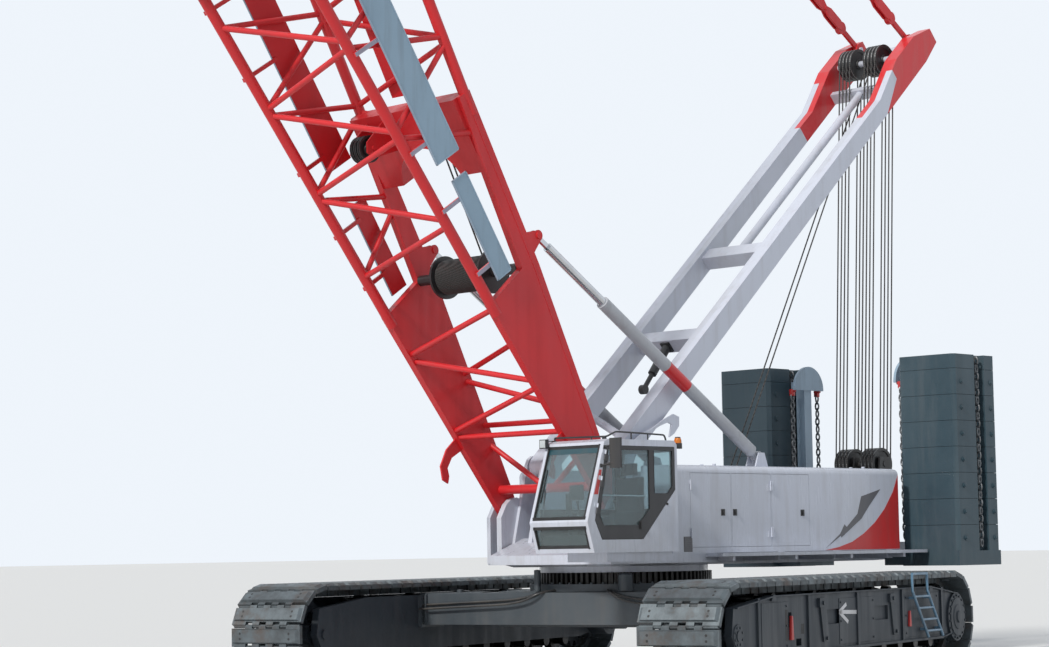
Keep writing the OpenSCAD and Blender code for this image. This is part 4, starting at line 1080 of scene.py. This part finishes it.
def stack_details(side, way):
    for place, y in SLAB_CHAIN_Y:
        chain(f"{side}_{place}_chain", SLAB_CHAIN_X, way * y, *SLAB_CHAIN_Z)
    for end, x in zip(("front", "rear"), LIFTER_X):
        chain(f"{side}_{end}_lifter_chain", x, way * LIFTER_Y, *LIFTER_CHAIN_Z)
    gap_shade, lugs, hooks = bmesh.new(), bmesh.new(), bmesh.new()
    # A black block inside the stack, seen through the gaps between the slabs: painted shade.
    for x0, x1, y0, y1 in GAP_SHADE_BLOCKS:
        block(gap_shade, x0, x1, *sorted((way * y0, way * y1)), *GAP_SHADE_Z)
    for i in range(SLABS):
        z = SLAB_FOOT + SLAB_HIGH * i + 0.21
        for x in LUG_X:
            for y0, y1, r, sides in LUG_STEPS:
                pin(lugs, x, z, way * y0, way * y1, r, sides)
    for x in LIFTER_X:
        block(hooks, x - 0.035, x + 0.035, way * LIFTER_Y - 0.04, way * LIFTER_Y + 0.04, 4.54, 4.66)
        pin(hooks, x, LIFTER_PIN_Z, way * 1.09, way * 1.22, 0.025)
    soften(hooks, 0.008)
    on_upper(f"{side}_slab_gap_shade", gap_shade, black_rubber_and_shade)
    on_upper(f"{side}_slab_lugs", lugs, slab_paint)
    on_upper(f"{side}_lifter_hooks", hooks, signal_red)


stack_details("left", 1)
stack_details("right", -1)


# Cab: rims of the panes, sun band, handle, rails, lenses, wiper, a lining dark with painted shade, seat and
# levers
PANE_RIM, SCREEN_RIM, RIM_OUT = 0.035, 0.045, 0.012
DOOR_PANE = ((3.0, 2.25), (3.08, 2.40), (2.88, 3.31), (2.04, 3.31), (2.04, 2.48), (2.28, 2.25))
QUARTER_PANE = ((1.93, 2.70), (1.93, 3.31), (1.54, 3.31), (1.54, 2.80), (1.64, 2.70))
SCREEN_FOOT, SCREEN_HEAD = (3.297, 2.33), (2.951, 3.38)
LOW_SCREEN_FOOT, LOW_SCREEN_HEAD = (3.196, 1.93), (3.289, 2.24)
PILLAR_BAND = ((3.072, 3.025), (3.024, 3.025), (3.108, 2.68), (3.188, 2.68))
ROOF_RAIL = ((2.86, 1.34, 3.455), (2.86, 1.34, 3.51), (2.86, 1.36, 3.512), (2.85, 2.26, 3.495),
             (2.84, 2.30, 3.495), (2.80, 2.31, 3.50), (2.64, 2.31, 3.565), (2.58, 2.31, 3.57),
             (1.66, 2.31, 3.545), (1.58, 2.31, 3.54), (1.56, 2.31, 3.45))
RAIL_POSTS = ((2.85, 2.05, 3.50), (2.30, 2.31, 3.56), (1.95, 2.31, 3.55))
CAB_ROOF = 3.455
HANDLE_X = 2.245
DOOR_RAIL_X = (2.10, 2.985)


def pane_rim(bm, outline, y0, y1):
    """A rubber rim round a flat opening with an outline in X and Z."""
    face = bm.faces.new([bm.verts.new((x, y0, z)) for x, z in outline])
    bmesh.ops.inset_individual(bm, faces=[face], thickness=PANE_RIM)
    bmesh.ops.delete(bm, geom=[face], context="FACES_ONLY")
    grown = bmesh.ops.extrude_face_region(bm, geom=list(bm.faces))["geom"]
    corners = [v for v in grown if isinstance(v, bmesh.types.BMVert)]
    bmesh.ops.translate(bm, verts=corners, vec=(0, y1 - y0, 0))


def screen_rim(bm, foot, head):
    """A rubber rim round a sloping front pane, from its foot to its head in X and Z."""
    y0, y1 = CAB_IN + 0.052, CAB_OUT - 0.052
    (x0, z0), (x1, z1) = foot, head
    half = SCREEN_RIM / 2
    for y in (y0 + half, y1 - half):
        bar(bm, (x0 + RIM_OUT, y, z0), (x1 + RIM_OUT, y, z1), 0.02, SCREEN_RIM)
    for (x, z), rise in ((foot, half), (head, -half)):
        x, z = x + RIM_OUT, z + rise
        block(bm, x - 0.012, x + 0.012, y0, y1, z - half, z + half)


def cab_rims():
    for name, outline in (("door_pane_rim", DOOR_PANE), ("quarter_pane_rim", QUARTER_PANE)):
        bm = bmesh.new()
        pane_rim(bm, outline, CAB_OUT - 0.012, CAB_OUT + 0.006)
        piece(name, bm, upper_frame, "cab_door", black_rubber_and_shade)
    bm = bmesh.new()
    screen_rim(bm, SCREEN_FOOT, SCREEN_HEAD)
    screen_rim(bm, LOW_SCREEN_FOOT, LOW_SCREEN_HEAD)
    on_upper("screen_rims", bm, black_rubber_and_shade)
    bm = bmesh.new()
    bar(bm, (2.997, 1.835, 3.262), (2.960, 1.835, 3.375), 1.0, 0.004)
    on_upper("screen_sun_band", bm, sun_band)


cab_rims()


def cab_details():
    bm = bmesh.new()
    block(bm, HANDLE_X - 0.02, HANDLE_X + 0.02, CAB_OUT - 0.004, CAB_OUT + 0.008, 2.19, 2.31)
    rod(bm, (HANDLE_X, CAB_OUT + 0.02, 2.205), (HANDLE_X, CAB_OUT + 0.02, 2.295), 0.010, 10)
    for z in (2.21, 2.29):
        pin(bm, HANDLE_X, z, CAB_OUT, CAB_OUT + 0.022, 0.008, 8)
    pin(bm, 1.664, 2.549, CAB_OUT - 0.004, CAB_OUT + 0.014, 0.018, 16)
    soften(bm, 0.002, 1)
    piece("cab_door_handle", bm, upper_frame, "cab_door", black_rubber_and_shade)
    bm = bmesh.new()
    rod(bm, (DOOR_RAIL_X[0], CAB_OUT - 0.045, 2.66), (DOOR_RAIL_X[1], CAB_OUT - 0.045, 2.67), 0.014)
    for x in DOOR_RAIL_X:
        pin(bm, x, 2.665, CAB_OUT - 0.045, CAB_OUT - 0.028, 0.012, 8)
    piece("cab_door_rail", bm, upper_frame, "cab_door", chrome_rod, 60)
    bm = bmesh.new()
    plate(bm, PILLAR_BAND, CAB_OUT - 0.001, CAB_OUT + 0.003)
    on_upper("pillar_band", bm, signal_red)
    bm = bmesh.new()
    lathe(bm, [(0.0, 0), (0.0, 0.056), (0.05, 0.055), (0.085, 0.045), (0.102, 0.025), (0.108, 0.0)],
          (1.29, 2.30, 3.417), axis="Z", steps=32)
    on_upper("beacon_lens", bm, amber, 60)
    bm = bmesh.new()
    block(bm, 3.043, 3.050, 1.222, 1.328, 3.372, 3.478)
    soften(bm, 0.003)
    on_upper("roof_lamp_lens", bm, lamp_lens)
    bm = bmesh.new()
    bent_pipe(bm, ROOF_RAIL, 0.013)
    for x, y, z in RAIL_POSTS:
        rod(bm, (x, y, CAB_ROOF), (x, y, z), 0.010, 8)
    rod(bm, (3.255, 1.47, 2.345), (3.19, 1.45, 2.72), 0.009, 8)
    bar(bm, (3.232, 1.40, 2.58), (3.075, 1.40, 3.05), 0.010, 0.018)
    rod(bm, (3.19, 1.45, 2.72), (3.165, 1.405, 2.79), 0.007, 8)
    on_upper("roof_rail_and_wiper", bm, machine_black, 60)


cab_details()


def cab_shade_lining():
    """Dark lining of the cab: roof, floor, rear wall, the low far wall and the box under the screen. Its
    near-black stands in for the shade inside the cab: partly lining, partly painted shade.
    """
    inside, far_wall = (CAB_IN + 0.04, CAB_OUT - 0.04), (CAB_IN + 0.037, CAB_IN + 0.055)
    bm = bmesh.new()
    block(bm, 1.50, 2.84, CAB_IN + 0.045, CAB_OUT - 0.045, 3.398, 3.420)
    block(bm, 1.47, 3.16, *inside, 1.907, 1.925)
    block(bm, 1.468, 1.485, *inside, 1.91, 2.49)
    block(bm, 1.47, 3.15, *far_wall, 1.91, 2.49)
    block(bm, 1.47, 1.59, *far_wall, 2.49, 3.39)
    block(bm, 2.88, 3.16, 1.36, 2.30, 1.92, 2.12)
    soften(bm, 0.006, 1)
    on_upper("cab_shade_lining", bm, cab_shade_black)


cab_shade_lining()


# The seat's pads: low corner, high corner, the way the sat-on face looks (0 is X, 2 is Z), its crown
PADS = (
    ("seat_cushion", (1.90, 1.58, 2.255), (2.42, 2.10, 2.37), 2, 0.035),
    ("seat_back", (1.78, 1.60, 2.38), (1.89, 2.08, 2.95), 0, 0.030),
    ("seat_head_rest", (1.80, 1.71, 2.965), (1.89, 1.97, 3.145), 0, 0.022),
)
PAD_CUTS = 15
PULL_IN = 0.07
CHANNEL_AT, CHANNEL_HALF, CHANNEL_DEEP = 0.5, 0.07, 0.022


def crowned_pad(bm, low, high, face, crown):
    """A padded form: a crowned face with two sewn channels, its sides pulled in between the corners."""
    block(bm, low[0], high[0], low[1], high[1], low[2], high[2])
    bmesh.ops.subdivide_edges(bm, edges=bm.edges, cuts=PAD_CUTS, use_grid_fill=True)
    middle = [(a + b) / 2 for a, b in zip(low, high)]
    half = [(b - a) / 2 for a, b in zip(low, high)]
    across = [k for k in range(3) if k != face]
    for v in bm.verts:
        t = [(v.co[k] - middle[k]) / half[k] for k in range(3)]
        swell = max(0.0, (1 - t[across[0]] ** 2) * (1 - t[across[1]] ** 2))
        channel = max(0.0, 1 - abs(abs(t[1]) - CHANNEL_AT) / CHANNEL_HALF)
        if t[face] > 0:
            v.co[face] += t[face] * (crown * swell ** 0.7 - CHANNEL_DEEP * channel)
        for k, other in (across, across[::-1]):
            v.co[k] -= t[k] * PULL_IN * half[k] * (1 - t[other] ** 2)
    for _ in range(3):
        bmesh.ops.smooth_vert(
            bm, verts=bm.verts, factor=0.5, use_axis_x=True, use_axis_y=True, use_axis_z=True
        )


def seat_parts():
    """The driver's seat: three padded pieces on a base, with side consoles, levers and pedals."""
    for name, low, high, face, crown in PADS:
        bm = bmesh.new()
        crowned_pad(bm, low, high, face, crown)
        obj = on_upper(name, bm, seat_fabric, 75)
    bm = bmesh.new()
    block(bm, 1.92, 2.36, 1.64, 2.04, 1.905, 2.25)
    for y in (1.40, 2.12):
        block(bm, 2.0, 2.6, y, y + 0.12, 1.905, 2.44)
    block(bm, 2.62, 2.66, 1.34, 1.44, 2.42, 2.72)
    block(bm, 2.56, 2.60, 1.36, 1.62, 2.62, 2.84)
    soften(bm, 0.012)
    for y in (1.46, 2.18):
        rod(bm, (2.5, y, 2.42), (2.53, y, 2.58), 0.012, 10)
        bmesh.ops.create_uvsphere(bm, u_segments=12, v_segments=8, radius=0.026,
                                  matrix=Matrix.Translation((2.532, y, 2.595)))
    for y in (1.76, 1.92):
        rod(bm, (1.85, y, 2.92), (1.85, y, 2.99), 0.008, 8)
    for y in (1.70, 1.98):
        rod(bm, (2.98, y, 2.10), (2.92, y, 2.42), 0.012, 8)
        block(bm, 2.93, 3.01, y - 0.05, y + 0.05, 2.10, 2.13)
    base = on_upper("seat_base_and_consoles", bm, black_rubber_and_shade)
    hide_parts("cab_seat")


seat_parts()


# Floor, backdrop, light and camera
FLOOR_SIZE = 400
FLOOR_Z = -0.002
LIGHT_WAY = (-0.86, -0.10, -0.62)


def studio_floor():
    mat, _, shader, _ = start_material("studio_floor")
    set_values(shader, Base_Color=(0.78, 0.78, 0.77, 1), Roughness=0.9)
    bm = bmesh.new()
    bmesh.ops.create_grid(bm, x_segments=2, y_segments=2, size=FLOOR_SIZE)
    mesh = bpy.data.meshes.new("floor")
    bm.to_mesh(mesh)
    bm.free()
    floor = bpy.data.objects.new("floor", mesh)
    bpy.context.scene.collection.objects.link(floor)
    mesh.materials.append(mat)
    floor.location.z = FLOOR_Z


def backdrop():
    """A sky that lights softly and shows paler to the camera, in reflections and through glass."""
    world = bpy.data.worlds.new("studio_world")
    bpy.context.scene.world = world
    world.use_nodes = True
    tree = world.node_tree
    light = tree.nodes["Background"]
    set_values(light, Color=(0.80, 0.85, 0.92, 1), Strength=0.55)
    seen = tree.nodes.new("ShaderNodeBackground")
    set_values(seen, Color=(0.86, 0.91, 0.97, 1), Strength=1.0)
    rays = tree.nodes.new("ShaderNodeLightPath").outputs
    mirrored = combine(tree, "MAXIMUM", rays["Is Glossy Ray"], rays["Is Transmission Ray"])
    mix = tree.nodes.new("ShaderNodeMixShader")
    tree.links.new(combine(tree, "MAXIMUM", rays["Is Camera Ray"], mirrored), mix.inputs["Fac"])
    tree.links.new(light.outputs[0], mix.inputs[1])
    tree.links.new(seen.outputs[0], mix.inputs[2])
    tree.links.new(mix.outputs[0], tree.nodes["World Output"].inputs["Surface"])


def studio():
    studio_floor()
    backdrop()
    sun = bpy.data.lights.new("key_light", "SUN")
    sun.energy = 2.6
    sun.angle = radians(6)
    sun.color = (1.0, 0.97, 0.92)
    key = bpy.data.objects.new("key_light", sun)
    key.rotation_mode = "QUATERNION"
    key.rotation_quaternion = Vector(LIGHT_WAY).to_track_quat("-Z", "Y")
    bpy.context.scene.collection.objects.link(key)
    bpy.context.scene.view_settings.view_transform = "Standard"


studio()

# The camera stands where the photograph was taken from; the photograph is 1049 by 647
FOCAL_PX = 2450.324
PHOTO_WIDE = 1049
YAW, PITCH_UP, ROLL = -135.229, 5.251, -0.905
CAMERA_SPOT = (28.061, 25.767, 1.942)
SENSOR = 36.0


def photo_camera():
    cam = bpy.data.cameras.new("photo_camera")
    cam.sensor_width = SENSOR
    cam.lens = SENSOR * FOCAL_PX / PHOTO_WIDE
    cam.clip_end = 2000
    obj = bpy.data.objects.new("photo_camera", cam)
    turn = (
        Matrix.Rotation(radians(YAW - 90), 4, "Z")
        @ Matrix.Rotation(radians(90 + PITCH_UP), 4, "X")
        @ Matrix.Rotation(radians(ROLL), 4, "Z")
    )
    obj.matrix_world = upper_frame @ Matrix.Translation(CAMERA_SPOT) @ turn
    bpy.context.scene.collection.objects.link(obj)
    bpy.context.scene.camera = obj


photo_camera()
